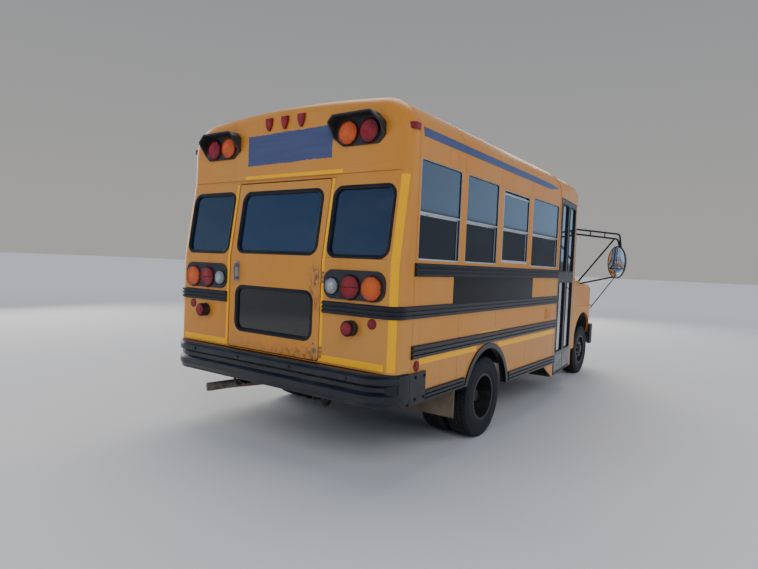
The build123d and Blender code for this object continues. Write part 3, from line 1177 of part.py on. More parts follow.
def mirror_set():
    base_x, base_y = HALF_CAB - TUMBLE + 10, HEADER_Y - 40
    low, high = CAP_LOW + 50, CAP_LOW + 115
    head_top = MIRROR_HIGH - 50
    rails = tube([(base_x, base_y, low), (MIRROR_X - 10, MIRROR_Y, low - 50),
                  (MIRROR_X + 30, MIRROR_Y, head_top)], ARM_RADIUS, 45)
    rails += tube([(base_x, base_y, high), (MIRROR_X + 10, MIRROR_Y - 8, high - 45),
                   (MIRROR_X + 40, MIRROR_Y - 8, head_top)], ARM_RADIUS, 45)
    for share in (0.25, 0.5, 0.75):
        x = base_x + share * (MIRROR_X - base_x)
        y = base_y + share * (MIRROR_Y - base_y)
        rails += cylinder_z(x, y - 4 * share, low - 50 * share, high - 45 * share, RUNG_RADIUS)
    strut = tube([(HALF_CAB - 30, COWL_Y - 120, 1405), (MIRROR_X - 60, MIRROR_Y + 4, low - 52)],
                 ARM_RADIUS, 1)
    lower = tube([(HALF_CAB - 30, COWL_Y - 200, 1390), (MIRROR_X - 10, MIRROR_Y + 2, MIRROR_LOW + 30)],
                 ARM_RADIUS, 1)
    brace = tube([(HALF_CAB - 20, cab_station(-474), 994), (MIRROR_X - 20, MIRROR_Y, MIRROR_LOW + 25)],
                 RUNG_RADIUS, 1)
    arms = rails + strut + lower + brace
    head = along_y(mirror_face(0, 0, 1), MIRROR_Y - MIRROR_DEPTH / 2, MIRROR_Y + MIRROR_DEPTH / 2)
    front = head.edges().filter_by(lambda e: abs(e.center().Y - MIRROR_Y + MIRROR_DEPTH / 2) < 1)
    head = fillet(front, MIRROR_DEPTH * 0.4)
    arms -= head
    arms -= CLIP_OUTER
    arms -= cap_solid(0)
    face = MIRROR_Y + MIRROR_DEPTH / 2
    upper = along_y(mirror_face(16, MIRROR_SPLIT + 0.01, 1), face, face + 4)
    lower_glass = along_y(mirror_face(16, 0, MIRROR_SPLIT - 0.01), face, face + 7)
    return arms, head, [upper, lower_glass]


# Stop arm on the driver's side
STOP_X = HALF_WIDTH + 45
STOP_Y = station(-1372)
STOP_Z = 1372
STOP_RADIUS = 240
STOP_PIN = 10


def stop_arm():
    blade = Rot(0, 0, 22.5) * RegularPolygon(STOP_RADIUS, 8)
    blade = Pos(STOP_X, STOP_Y + STOP_RADIUS + 60, STOP_Z) * Rot(0, 90, 0) * extrude(blade, 8)
    bar = box(STOP_X - 10, STOP_X, STOP_Y, STOP_Y + 330, STOP_Z - 60, STOP_Z + 60)
    bar -= cylinder_z(STOP_X, STOP_Y, STOP_Z - 61, STOP_Z + 61, STOP_PIN + SEAT_GAP)
    mount = box(HALF_WIDTH, STOP_X - 16, STOP_Y - 110, STOP_Y - 16, STOP_Z - 70, STOP_Z + 70)
    mount += cylinder_z(STOP_X, STOP_Y, STOP_Z - 70, STOP_Z + 70, STOP_PIN)
    for low in (STOP_Z - 70, STOP_Z + 62):
        mount += box(HALF_WIDTH, STOP_X + STOP_PIN, STOP_Y - 60, STOP_Y + STOP_PIN, low, low + 8)
    return blade + bar, mount


def main():
    os.makedirs("parts", exist_ok=True)
    wall_left, wall_right = side_walls()
    left_side, corner_pane, rear_post, front_post = front_sides()
    save("side_walls", wall_left, wall_right, left_side, rear_post, front_post)
    save("roof", roof())
    save("rear_wall", rear_wall())
    save("rear_cap", rear_cap())
    save("front_cap", front_cap())
    cab, vision_pane = cab_shell()
    save("cab_shell", cab)
    hood, fenders = front_clip()
    save("hood", hood)
    save("fenders", fenders)
    save("windshield", windshield())
    save("floor", floor())
    save("step_well", step_well())
    save("rub_rails", rub_rails())
    save("arch_lips", arch_lips())
    frames, panes = window_parts()
    ring, pane = gasket(REAR_SIDE_WINDOW)
    save("window_frames", frames)
    save("side_glass", panes, both_sides(pane), corner_pane, vision_pane)
    save("window_gaskets", both_sides(ring))
    save("rear_bumper", rear_bumper())
    save("front_bumper", front_bumper())
    save("grille", grille_parts())
    red, amber, clear, housings = lamps()
    low_x, high_x, low_z, high_z = HEADLAMP
    headlamp = along_y(rounded(*HEADLAMP, 25), CLIP_FRONT_Y + 20, CLIP_FRONT_Y + 120)
    headlamp &= clip_solid(0)
    clear += both_sides(headlamp)
    save("lamps_red", red)
    save("lamps_amber", amber)
    save("lamps_clear", clear)
    save("lamp_housings", housings)
    save("chassis_frame", chassis_frame())
    save("rear_axle", rear_axle())
    save("suspension", suspension())
    save("powertrain", powertrain())
    save("exhaust", exhaust())
    save("mud_flaps", mud_flaps())
    frames, pads = benches()
    seat_base, seat_pads = driver_seat()
    save("seat_frames", frames, seat_base)
    save("bench_pads", pads)
    save("driver_seat", seat_pads)
    save("dashboard", dashboard())
    save("barriers", barriers())
    arms, head, glass = mirror_set()
    save("mirror_arms", both_sides(arms))
    save("mirror_heads", both_sides(head))
    save("mirror_glass", [piece for item in glass for piece in both_sides(item)])
    door, fittings, door_panes = rear_door()
    save("rear_door", door)
    save("rear_door_fittings", fittings)
    save("rear_door_glass", door_panes)
    door, pane = driver_door()
    save("driver_door", door)
    save("driver_door_glass", pane)
    middle = LEAF_MIDDLE_Y
    for name, y_low, y_high in (("rear", middle + 3, LEAF_REAR_Y), ("front", LEAF_FRONT_Y, middle - 3)):
        panel, leaf_panes = leaf(y_low, y_high)
        save(f"entrance_leaf_{name}", panel)
        save(f"entrance_glass_{name}", leaf_panes)
    blade, mount = stop_arm()
    save("stop_arm", blade)
    save("stop_arm_mount", mount)
    for name, side in (("left", 1), ("right", -1)):
        save(f"knuckle_{name}", knuckle(side))
        x = side * FRONT_TRACK / 2
        save(f"tyre_front_{name}", tyre(x, FRONT_AXLE_Y))
        save(f"rim_front_{name}", rim(x, FRONT_AXLE_Y, side, FRONT_DISH, FRONT_HUB_OUT))
        outer = side * (REAR_TRACK / 2 + DUAL_SPACING / 2)
        inner = side * (REAR_TRACK / 2 - DUAL_SPACING / 2)
        save(f"tyres_rear_{name}", tyre(outer, REAR_AXLE_Y), tyre(inner, REAR_AXLE_Y))
        dish = DUAL_SPACING / 2 - DUAL_HUB_HALF
        pair = rim(outer, REAR_AXLE_Y, side, -dish, REAR_HUB_OUT) + rim(inner, REAR_AXLE_Y, side, dish, 1)
        save(f"rims_rear_{name}", pair)


if __name__ == "__main__":
    main()
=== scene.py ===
import json
from math import cos, pi, radians, sin, sqrt

import bmesh
import bpy
from bpy.props import FloatProperty, FloatVectorProperty, IntProperty, PointerProperty
from mathutils import Matrix, Vector


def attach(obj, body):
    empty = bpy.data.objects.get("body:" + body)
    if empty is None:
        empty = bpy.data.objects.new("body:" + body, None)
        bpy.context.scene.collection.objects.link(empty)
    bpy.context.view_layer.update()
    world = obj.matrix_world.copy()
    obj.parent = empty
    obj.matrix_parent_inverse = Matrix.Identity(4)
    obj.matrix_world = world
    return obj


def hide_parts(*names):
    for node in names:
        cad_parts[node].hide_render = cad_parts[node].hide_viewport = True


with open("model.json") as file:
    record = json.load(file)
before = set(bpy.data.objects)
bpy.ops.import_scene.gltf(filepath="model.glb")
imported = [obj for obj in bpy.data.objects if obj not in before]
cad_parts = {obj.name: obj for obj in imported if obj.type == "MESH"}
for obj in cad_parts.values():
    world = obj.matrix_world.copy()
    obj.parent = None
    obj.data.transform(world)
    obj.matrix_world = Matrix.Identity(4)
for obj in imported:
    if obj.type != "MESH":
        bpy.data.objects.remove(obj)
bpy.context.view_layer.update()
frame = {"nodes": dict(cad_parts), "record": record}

bl_info = {
    "name": "Short School Bus",
    "version": (1, 0, 0),
    "blender": (4, 5, 0),
    "location": "View3D > Sidebar > School Bus",
    "description": "Dresses a short school bus: paint, tape, glass, lamps, tyres, seats and hardware",
    "category": "Add Mesh",
}

# Places that the whole bus shares, in metres
REAR_AXLE_Y = 1.6135
FRONT_AXLE_Y = -2.4255
AXLE_Z = 0.372
HALF_WIDTH = 1.219
REAR_FACE_Y = 3.1785
CORNER_RADIUS = 0.095
SHOULDER_RADIUS = 0.3
SHOULDER_Z = 2.48
ROOF_PEAK = 2.825
CROWN_RADIUS = 9.706
ROOF_STEPS = 10
REAR_KNEE_Z = 1.567
REAR_SEAM_Z = 2.23
REAR_LEAN = 0.093
REAR_CAP_Y = 3.0935
BOW_Y = -0.3465
FRONT_POST_Y = -1.3665
FRONT_CAP_Y = -1.5515
FRONT_BROW_Y = -1.21
CLIP_FRONT_Y = -3.1265
TAPE_LOW_Z = 0.802
# Side windows: rear and front edge from the rear axle, and their sill, head and sash bar
WINDOWS = ((1.316, 0.671), (0.564, -0.09), (-0.194, -0.91), (-1.01, -1.883))
PUSH_OUT_WINDOW = 2
WINDOW_LOW = 1.598
WINDOW_HIGH = 2.336
SASH_Z = 1.946
REARWARD = (0, 1, 0)
FORWARD = (0, -1, 0)
UPWARD = (0, 0, 1)


def station(metres):
    """A place along the bus, measured from the rear axle, positive to the rear."""
    return REAR_AXLE_Y + metres


def rear_y(z):
    """The rear face at a height: upright to the belt, then leaning forward to the cap's seam."""
    share = (z - REAR_KNEE_Z) / (REAR_SEAM_Z - REAR_KNEE_Z)
    return REAR_FACE_Y - REAR_LEAN * min(max(share, 0.0), 1.0)


def entrance_x(y):
    """Outer face of the tapering side by the entrance."""
    return HALF_WIDTH - (BOW_Y - y) / (BOW_Y - FRONT_POST_Y) * 0.089


def roof_outline(lift):
    """The roof's section as (x, z) from one wall's top to the other's, lifted off the skin."""
    reach = HALF_WIDTH - SHOULDER_RADIUS
    edge = pi / 2 - 0.0979
    radius = SHOULDER_RADIUS + lift
    angles = [edge * index / ROOF_STEPS for index in range(ROOF_STEPS + 1)]
    half = [(reach + radius * cos(angle), SHOULDER_Z + radius * sin(angle)) for angle in angles]
    for index in range(1, ROOF_STEPS + 1):
        x = (reach + SHOULDER_RADIUS * cos(edge)) * (1 - index / ROOF_STEPS)
        half.append((x, ROOF_PEAK - (CROWN_RADIUS - sqrt(CROWN_RADIUS ** 2 - x ** 2)) + lift))
    return half + [(-x, z) for x, z in reversed(half[:-1])]


# Sizes and colours


def colour_property(name, description, value):
    return FloatVectorProperty(name=name, description=description, default=value,
                               subtype="COLOR", size=3, min=0.0, max=1.0)


def length_property(name, description, value):
    return FloatProperty(name=name, description=description, default=value, unit="LENGTH", min=0.0)


class BusColours(bpy.types.PropertyGroup):
    yellow: colour_property("Body yellow", "Main colour of the body enamel", (0.6, 0.22, 0.018))
    faded: colour_property("Faded yellow", "Where the sun has dulled the enamel", (0.57, 0.245, 0.04))
    tape: colour_property("Tape yellow", "Reflective tape", (0.9, 0.42, 0.0))
    black: colour_property("Rail black", "Rub rails and rear bumper", (0.0045, 0.0065, 0.011))
    blue: colour_property("Stripe blue", "Stripe and painted-out panel", (0.058, 0.069, 0.15))
    dust: colour_property("Dust", "Road dust low down", (0.33, 0.25, 0.17))


class BusSizes(bpy.types.PropertyGroup):
    tape_width: length_property("Tape width", "Width of the reflective tape", 0.05)
    tape_thickness: length_property("Tape thickness", "How far the tape stands out", 0.0012)
    rivet_radius: length_property("Rivet radius", "Round-headed body rivets", 0.0055)
    rivet_pitch: length_property("Rivet pitch", "Distance between rivets", 0.075)
    tread_lugs: IntProperty(name="Tread lugs", description="Lugs round each tyre", default=64, min=8)
    groove_depth: length_property("Groove depth", "Depth of the tyre grooves", 0.009)
    cushion_swell: length_property("Cushion swell", "How far a cushion may bulge", 0.012)


def sizes():
    return bpy.context.scene.bus_sizes


def colours():
    return bpy.context.scene.bus_colours


# Materials

LINING = (0.62, 0.61, 0.56)
# The lining's foot below the floor is dark: painted shade of the space under the floor
SHADED_LINING_FOOT = (0.03, 0.026, 0.022)
REAR_TINT = (0.007, 0.027, 0.078)
FLOOR_COLOUR = (0.6, 0.59, 0.57)


def toned(colour, share):
    """A colour made darker or brighter."""
    return tuple(part * share for part in colour)


class Nodes:
    """A node tree, with short names for the nodes that the finishes are made of."""

    def __init__(self, tree, coordinates):
        self.tree = tree
        self.where = self.add("ShaderNodeTexCoord").outputs[coordinates]

    def add(self, kind, inputs=None, **settings):
        """A node with its settings and inputs filled in."""
        made = self.tree.nodes.new(kind)
        for name, value in settings.items():
            setattr(made, name, value)
        for name, value in (inputs or {}).items():
            self.feed(made.inputs[name], value)
        return made

    def feed(self, socket, value):
        """Links an output, or sets a plain value."""
        if isinstance(value, bpy.types.NodeSocket):
            self.tree.links.new(value, socket)
        elif isinstance(value, tuple) and len(value) == 3 and len(socket.default_value) == 4:
            socket.default_value = (*value, 1.0)
        else:
            socket.default_value = value

    def noise(self, scale, detail=3.0, roughness=0.55, stretch=None):
        where = self.where
        if stretch:
            where = self.add("ShaderNodeMapping", {"Vector": where, "Scale": stretch}).outputs["Vector"]
        inputs = {"Vector": where, "Scale": scale, "Detail": detail, "Roughness": roughness}
        return self.add("ShaderNodeTexNoise", inputs).outputs["Fac"]

    def cells(self, scale, scatter=1.0, feature="F1", distance="EUCLIDEAN", turn=None):
        """How far each place is from the middle or the edge of its cell."""
        where = self.where
        if turn:
            where = self.add("ShaderNodeMapping", {"Vector": where, "Rotation": turn}).outputs["Vector"]
        inputs = {"Vector": where, "Scale": scale, "Randomness": scatter}
        made = self.add("ShaderNodeTexVoronoi", inputs, feature=feature, distance=distance)
        return made.outputs["Distance"]

    def waves(self, direction, scale, distortion=0.0):
        inputs = {"Vector": self.where, "Scale": scale, "Distortion": distortion}
        return self.add("ShaderNodeTexWave", inputs, bands_direction=direction).outputs["Fac"]

    def spread(self, value, low, high, to_low=0.0, to_high=1.0, easing="SMOOTHSTEP"):
        """Stretches a value from one range to another, clamped and eased."""
        inputs = {"Value": value, "From Min": low, "From Max": high, "To Min": to_low, "To Max": to_high}
        return self.add("ShaderNodeMapRange", inputs, interpolation_type=easing).outputs["Result"]

    def cloud(self, scale, detail, roughness, low, high, to_low=0.0, to_high=1.0, stretch=None):
        """Soft patches, from noise between two levels."""
        return self.spread(self.noise(scale, detail, roughness, stretch), low, high, to_low, to_high)

    def blend(self, share, first, second):
        made = self.add("ShaderNodeMix", {"Factor": share, 6: first, 7: second}, data_type="RGBA")
        return made.outputs[2]

    def blend_value(self, share, first, second):
        made = self.add("ShaderNodeMix", {"Factor": share, 2: first, 3: second}, data_type="FLOAT")
        return made.outputs[0]

    def maths(self, operation, first, second=0.0, clamp=False):
        made = self.add("ShaderNodeMath", {0: first, 1: second}, operation=operation, use_clamp=clamp)
        return made.outputs["Value"]

    def times(self, first, second, clamp=False):
        return self.maths("MULTIPLY", first, second, clamp)

    def plus(self, first, second):
        return self.maths("ADD", first, second)

    def less(self, first, second):
        return self.maths("SUBTRACT", first, second)

    def most(self, first, second):
        return self.maths("MAXIMUM", first, second)

    def beyond(self, value, edge):
        """How far a value is past an edge, or 0."""
        return self.most(self.less(value, edge), 0.0)

    def squares(self, first, second):
        return self.plus(self.times(first, first), self.times(second, second))

    def distance(self, first, second):
        return self.maths("SQRT", self.squares(first, second))

    def places(self):
        """The X, Y and Z of the place that is shaded."""
        made = self.add("ShaderNodeSeparateXYZ", {"Vector": self.where})
        return made.outputs["X"], made.outputs["Y"], made.outputs["Z"]

    def inside(self, value, low, high, soft):
        """1 between low and high, eased over soft at each end."""
        rise = self.spread(value, low - soft, low + soft)
        return self.times(rise, self.spread(value, high - soft, high + soft, 1.0, 0.0))


class Finish(Nodes):
    """A principled material on object coordinates. An underscore in a socket's name is a blank."""

    def __init__(self, name, base, roughness=0.5, metallic=0.0, **constants):
        self.material = bpy.data.materials.new(name)
        self.material.use_nodes = True
        super().__init__(self.material.node_tree, "Object")
        self.surface(Base_Color=base, Roughness=roughness, Metallic=metallic, **constants)

    def surface(self, **values):
        """Sets or links sockets of the shader, and gives the material."""
        shader = self.tree.nodes["Principled BSDF"]
        for name, value in values.items():
            self.feed(shader.inputs[name.replace("_", " ")], value)
        return self.material

    def bump(self, height, strength, distance):
        inputs = {"Strength": strength, "Distance": distance, "Height": height}
        self.surface(Normal=self.add("ShaderNodeBump", inputs).outputs["Normal"])


def outside_share(n):
    """1 on the outer skin of the body behind the bow, 0 on the lining inside it."""
    x, y, z = n.places()
    across = n.maths("ABSOLUTE", x)
    lean = n.times(n.spread(z, REAR_KNEE_Z, REAR_SEAM_Z, easing="LINEAR"), REAR_LEAN)
    out = n.beyond(across, HALF_WIDTH - CORNER_RADIUS)
    back = n.beyond(n.plus(y, lean), REAR_FACE_Y - CORNER_RADIUS)
    wall = n.spread(n.distance(out, back), CORNER_RADIUS - 0.03, CORNER_RADIUS - 0.022)
    sag = n.times(n.times(x, x), 0.5 / CROWN_RADIUS)
    crown = n.spread(n.plus(z, sag), ROOF_PEAK - 0.028, ROOF_PEAK - 0.02)
    bend = n.distance(n.beyond(across, HALF_WIDTH - SHOULDER_RADIUS), n.beyond(z, SHOULDER_Z))
    shoulder = n.spread(bend, SHOULDER_RADIUS - 0.028, SHOULDER_RADIUS - 0.02)
    ahead = n.spread(y, BOW_Y + 0.005, BOW_Y - 0.005)
    return n.most(n.most(wall, crown), n.most(shoulder, ahead))


def enamel(name, base, faded, roughness=0.36, dust_top=1.1, dust_share=0.3, mark=None, lined=False):
    """Sprayed enamel: slow fading, fine orange peel, rain streaks, and road dust rising from the skirt."""
    n = Finish(name, base, roughness, Coat_Weight=0.12, Coat_Roughness=0.16, Specular_IOR_Level=0.4)
    colour = n.blend(n.cloud(0.8, 2.0, 0.55, 0.35, 0.68), base, faded)
    streaks = n.cloud(1.0, 4.0, 0.6, 0.5, 0.78, 0.0, 0.3, (9.0, 9.0, 0.55))
    colour = n.blend(streaks, colour, toned(base, 0.72))
    specks = n.cloud(55.0, 2.0, 0.5, 0.7, 0.78, 0.0, 0.35)
    colour = n.blend(specks, colour, toned(base, 0.45))
    height = n.places()[2]
    rise = n.spread(height, 0.35, dust_top, 1.0, 0.0)
    dust = n.times(n.times(rise, n.cloud(3.2, 5.0, 0.65, 0.3, 0.72)), dust_share)
    colour = n.blend(dust, colour, tuple(colours().dust))
    rough = n.spread(n.plus(dust, n.times(streaks, 0.5)), 0.0, 0.8, roughness, 0.72)
    if mark:
        colour, rough = mark(n, colour, rough)
    if lined:
        # Below the floor the lining takes the painted shade colour
        below = n.spread(height, 0.86, 0.88, 1.0, 0.0)
        colour = n.blend(outside_share(n), n.blend(below, LINING, SHADED_LINING_FOOT), colour)
    n.bump(n.plus(n.times(n.noise(130.0, 2.0), 0.35), n.noise(5.0, 2.0)), 0.1, 0.004)
    return n.surface(Base_Color=colour, Roughness=rough)


def painted_out_panel(n, colour, rough):
    """The blue rectangle brushed over the middle of the rear cap, with ragged edges."""
    x, y, z = n.places()
    ragged = n.times(n.less(n.noise(9.0, 6.0, 0.75), 0.5), 0.045)
    across = n.inside(n.plus(x, ragged), -0.512, 0.436, 0.003)
    upright = n.inside(n.plus(n.plus(z, ragged), n.times(x, 0.012)), 2.352, 2.606, 0.003)
    behind = n.spread(y, REAR_CAP_Y - 0.02, REAR_CAP_Y - 0.01)
    share = n.times(n.times(across, upright), behind)
    strokes = n.cloud(2.0, 3.0, 0.6, 0.35, 0.65, stretch=(1.5, 1.0, 22.0))
    blue = tuple(colours().blue)
    paint = n.blend(strokes, blue, toned(blue, 1.15))
    return n.blend(share, colour, paint), n.blend_value(share, rough, 0.5)


def rust_at_door(n, colour, rough):
    """Rust that creeps up from the door's lower hinge corner, and weeps at its hinge side."""
    x, _, z = n.places()
    low = n.spread(z, 0.8, 0.95, 1.0, 0.0)
    corner = n.spread(x, -0.5, 0.2, 1.0, 0.25)
    share = n.times(n.times(low, corner), n.cloud(16.0, 6.0, 0.7, 0.45, 0.6))
    rust = n.blend(n.noise(60.0), (0.13, 0.045, 0.015), (0.28, 0.12, 0.05))
    weep = n.times(n.inside(x, -0.52, -0.4, 0.025), n.inside(z, 1.18, 1.52, 0.06))
    weep = n.times(weep, n.cloud(22.0, 6.0, 0.72, 0.44, 0.58, stretch=(2.0, 2.0, 0.7)))
    share = n.most(share, n.times(weep, 0.7))
    return n.blend(share, colour, rust), n.blend_value(share, rough, 0.8)


def bumper_corner(n, colour, rough):
    """The black of the body's lower corner behind the bumper, and of the rear arch's edge."""
    _, y, z = n.places()
    share = n.times(n.spread(z, 0.786, 0.788, 1.0, 0.0), n.spread(y, 3.04, 3.05))
    square = n.squares(n.less(y, REAR_AXLE_Y), n.less(z, AXLE_Z))
    share = n.most(share, n.spread(square, 0.458 ** 2, 0.462 ** 2, 1.0, 0.0))
    return n.blend(share, colour, tuple(colours().black)), n.blend_value(share, rough, 0.35)


def dark_paint(name, base, roughness=0.3, dust_share=0.12, dust_top=1.7, specular=0.42):
    """Gloss black paint with a film of dust that lies thickest low down."""
    n = Finish(name, base, roughness, Coat_Weight=0.1, Coat_Roughness=0.15, Specular_IOR_Level=specular)
    fine = n.cloud(1.0, 5.0, 0.6, 0.42, 0.72, stretch=(5.0, 5.0, 26.0))
    rise = n.spread(n.places()[2], 0.3, dust_top, 1.0, 0.35)
    dust = n.times(n.plus(n.cloud(4.0, 6.0, 0.68, 0.42, 0.8), fine), rise)
    dust = n.times(dust, dust_share * 0.5, clamp=True)
    n.bump(n.noise(90.0), 0.12, 0.002)
    return n.surface(Base_Color=n.blend(dust, base, (0.16, 0.135, 0.11)),
                     Roughness=n.spread(dust, 0.0, 0.5, roughness, 0.75))


def tinted_glass(name, tint, film, transmission, reflect, shaded_low_tint=None, rear_tint=None):
    """Tinted safety glass with a thin film of dust and wiping marks; a low pane can be made darker, as
    painted shade.
    """
    roughness = 0.04
    n = Finish(name, tint, roughness, Transmission_Weight=transmission, IOR=1.45, Coat_Weight=reflect,
               Coat_Roughness=0.02, Coat_IOR=2.0)
    marks = n.noise(2.2, 5.0, 0.62, (1.0, 1.0, 2.4))
    share = n.spread(marks, 0.45, 0.8, 0.0, 0.22)
    if rear_tint:
        behind = n.spread(n.places()[1], 3.0, 3.02)
        tint = n.blend(behind, tint, rear_tint)
        n.surface(Coat_Weight=n.spread(behind, 0.0, 1.0, reflect, reflect * 0.45))
    # Below 1.4 m the tint is darker, with weaker reflection and less film: painted shade for the shaded
    # ground that the low pane reflects
    if shaded_low_tint:
        upper = n.spread(n.places()[2], 1.39, 1.41)
        tint = n.blend(upper, shaded_low_tint, tint)
        share = n.times(share, n.spread(upper, 0.0, 1.0, 0.35, 1.0))
        n.surface(Coat_Weight=n.spread(upper, 0.0, 1.0, reflect * 0.3, reflect))
    return n.surface(Base_Color=n.blend(share, tint, film),
                     Roughness=n.spread(marks, 0.4, 0.85, roughness, roughness + 0.14))


def lens(name, deep, bright, transmission=0.15):
    """Moulded lens: fine prisms inside, and a painted highlight of the bulb and reflector, brightest in the
    lens's middle and in each prism's centre.
    """
    n = Finish(name, deep, 0.16, Transmission_Weight=transmission, IOR=1.49, Coat_Weight=0.15,
               Coat_Roughness=0.05)
    # Painted highlight: the lens colour turns brighter towards its middle and in each prism's centre
    middle = n.add("ShaderNodeAttribute", attribute_name="glow").outputs["Fac"]
    prisms = n.cells(95.0, 0.0, distance="CHEBYCHEV")
    lit = n.times(n.less(1.25, n.spread(prisms, 0.1, 0.7)), middle, clamp=True)
    grime = n.cloud(14.0, 5.0, 0.65, 0.45, 0.75, 0.0, 0.45)
    n.bump(prisms, 0.25, 0.002)
    return n.surface(Base_Color=n.blend(grime, n.blend(lit, deep, bright), toned(deep, 0.45)))


def rubber(name, base, roughness, dust, dust_share, scale=6.0):
    n = Finish(name, base, roughness, Specular_IOR_Level=0.35)
    cloud = n.cloud(scale, 6.0, 0.68, 0.36, 0.74)
    n.bump(n.noise(160.0, 4.0), 0.25, 0.0015)
    return n.surface(Base_Color=n.blend(n.times(cloud, dust_share), base, dust),
                     Roughness=n.spread(cloud, 0.0, 1.0, roughness - 0.14, roughness + 0.1))


def metal(name, base, roughness, metallic, rust_share=0.0, brushed=(1.0, 1.0, 1.0)):
    n = Finish(name, base, roughness, metallic)
    grain = n.noise(40.0, 4.0, 0.6, brushed)
    colour = n.blend(n.spread(grain, 0.3, 0.7), toned(base, 0.78), base)
    rust = n.times(n.cloud(7.0, 6.0, 0.7, 0.44, 0.62), rust_share)
    relief = n.plus(grain, rust)
    n.bump(relief, 0.2, 0.0012)
    return n.surface(Base_Color=n.blend(rust, colour, (0.12, 0.045, 0.02)),
                     Roughness=n.spread(relief, 0.3, 1.3, roughness - 0.08, 0.85),
                     Metallic=n.spread(rust, 0.0, 0.5, metallic, 0.1))


def moulded(name, base):
    """Moulded plastic with a fine leather-like grain."""
    roughness = 0.55
    n = Finish(name, base, roughness)
    cloud = n.cloud(5.0, 5.0, 0.65, 0.42, 0.78, 0.0, 0.1)
    n.bump(n.cells(260.0), 0.25, 0.0008)
    return n.surface(Base_Color=n.blend(cloud, base, (0.2, 0.17, 0.14)),
                     Roughness=n.spread(cloud, 0.0, 0.6, roughness, 0.85))


def vinyl(name, base):
    """Grained seat vinyl, a little shiny, creased and worn paler where people slide over it."""
    n = Finish(name, base, 0.42, Coat_Weight=0.1, Coat_Roughness=0.35)
    wear = n.cloud(7.0, 5.0, 0.6, 0.44, 0.72)
    worn = tuple(min(1.0, part * 1.9 + 0.01) for part in base)
    creases = n.cloud(22.0, 5.0, 0.7, 0.45, 0.58, stretch=(1.0, 2.5, 1.0))
    n.bump(n.plus(n.times(n.cells(420.0), 0.35), creases), 0.28, 0.0016)
    return n.surface(Base_Color=n.blend(wear, base, worn), Roughness=n.spread(wear, 0.0, 1.0, 0.36, 0.62))


def woven(name, base):
    """Seat cloth: crossed threads with a soft sheen."""
    n = Finish(name, base, 0.85, Sheen_Weight=0.4)
    weave = n.most(n.waves("X", 160.0, 0.4), n.waves("Z", 160.0, 0.4))
    worn = n.cloud(6.0, 5.0, 0.6, 0.42, 0.75)
    threads = n.blend(weave, toned(base, 0.6), toned(base, 1.3))
    n.bump(weave, 0.4, 0.001)
    return n.surface(Base_Color=n.blend(n.times(worn, 0.4), threads, (0.13, 0.12, 0.11)))


def clear_lens(name, base):
    """Clear moulded plastic, a little yellowed and scratched."""
    n = Finish(name, base, 0.05, Transmission_Weight=0.9, IOR=1.49, Coat_Weight=0.2, Coat_Roughness=0.04)
    haze = n.cloud(9.0, 5.0, 0.65, 0.45, 0.78)
    return n.surface(Base_Color=n.blend(haze, base, (0.72, 0.7, 0.6)),
                     Roughness=n.spread(haze, 0.0, 1.0, 0.04, 0.22))


def ribbed_rubber(name, base):
    """Floor covering with fine ribs along the aisle."""
    n = Finish(name, base, 0.7)
    n.bump(n.waves("X", 14.0), 0.4, 0.003)
    dust = n.cloud(5.0, 6.0, 0.7, 0.35, 0.75, 0.0, 0.5)
    return n.surface(Base_Color=n.blend(dust, base, (0.17, 0.15, 0.13)))


def retroreflective(name, base):
    """Prismatic tape: small diamond cells under a glossy film, dirty in places, with a faint painted glow in
    its own colour for the light it sends back.
    """
    # The emission is a painted glow: the tape itself gives no light
    n = Finish(name, base, 0.34, Coat_Weight=0.1, Coat_Roughness=0.12, Specular_IOR_Level=0.15,
               Emission_Color=base, Emission_Strength=0.14)
    prisms = n.cells(160.0, 0.1, "DISTANCE_TO_EDGE", turn=(radians(45), radians(45), radians(45)))
    colour = n.blend(n.spread(prisms, 0.02, 0.1), toned(base, 0.7), base)
    grime = n.cloud(9.0, 6.0, 0.7, 0.5, 0.82, 0.0, 0.25)
    n.bump(prisms, 0.15, 0.001)
    return n.surface(Base_Color=n.blend(grime, colour, (0.22, 0.14, 0.04)),
                     Roughness=n.spread(grime, 0.0, 0.5, 0.26, 0.6))


def mirror_metal(name):
    n = Finish(name, (0.82, 0.84, 0.86), 0.03, 1.0)
    return n.surface(Roughness=n.cloud(11.0, 5.0, 0.6, 0.5, 0.82, 0.03, 0.2))


FINISHES = {}


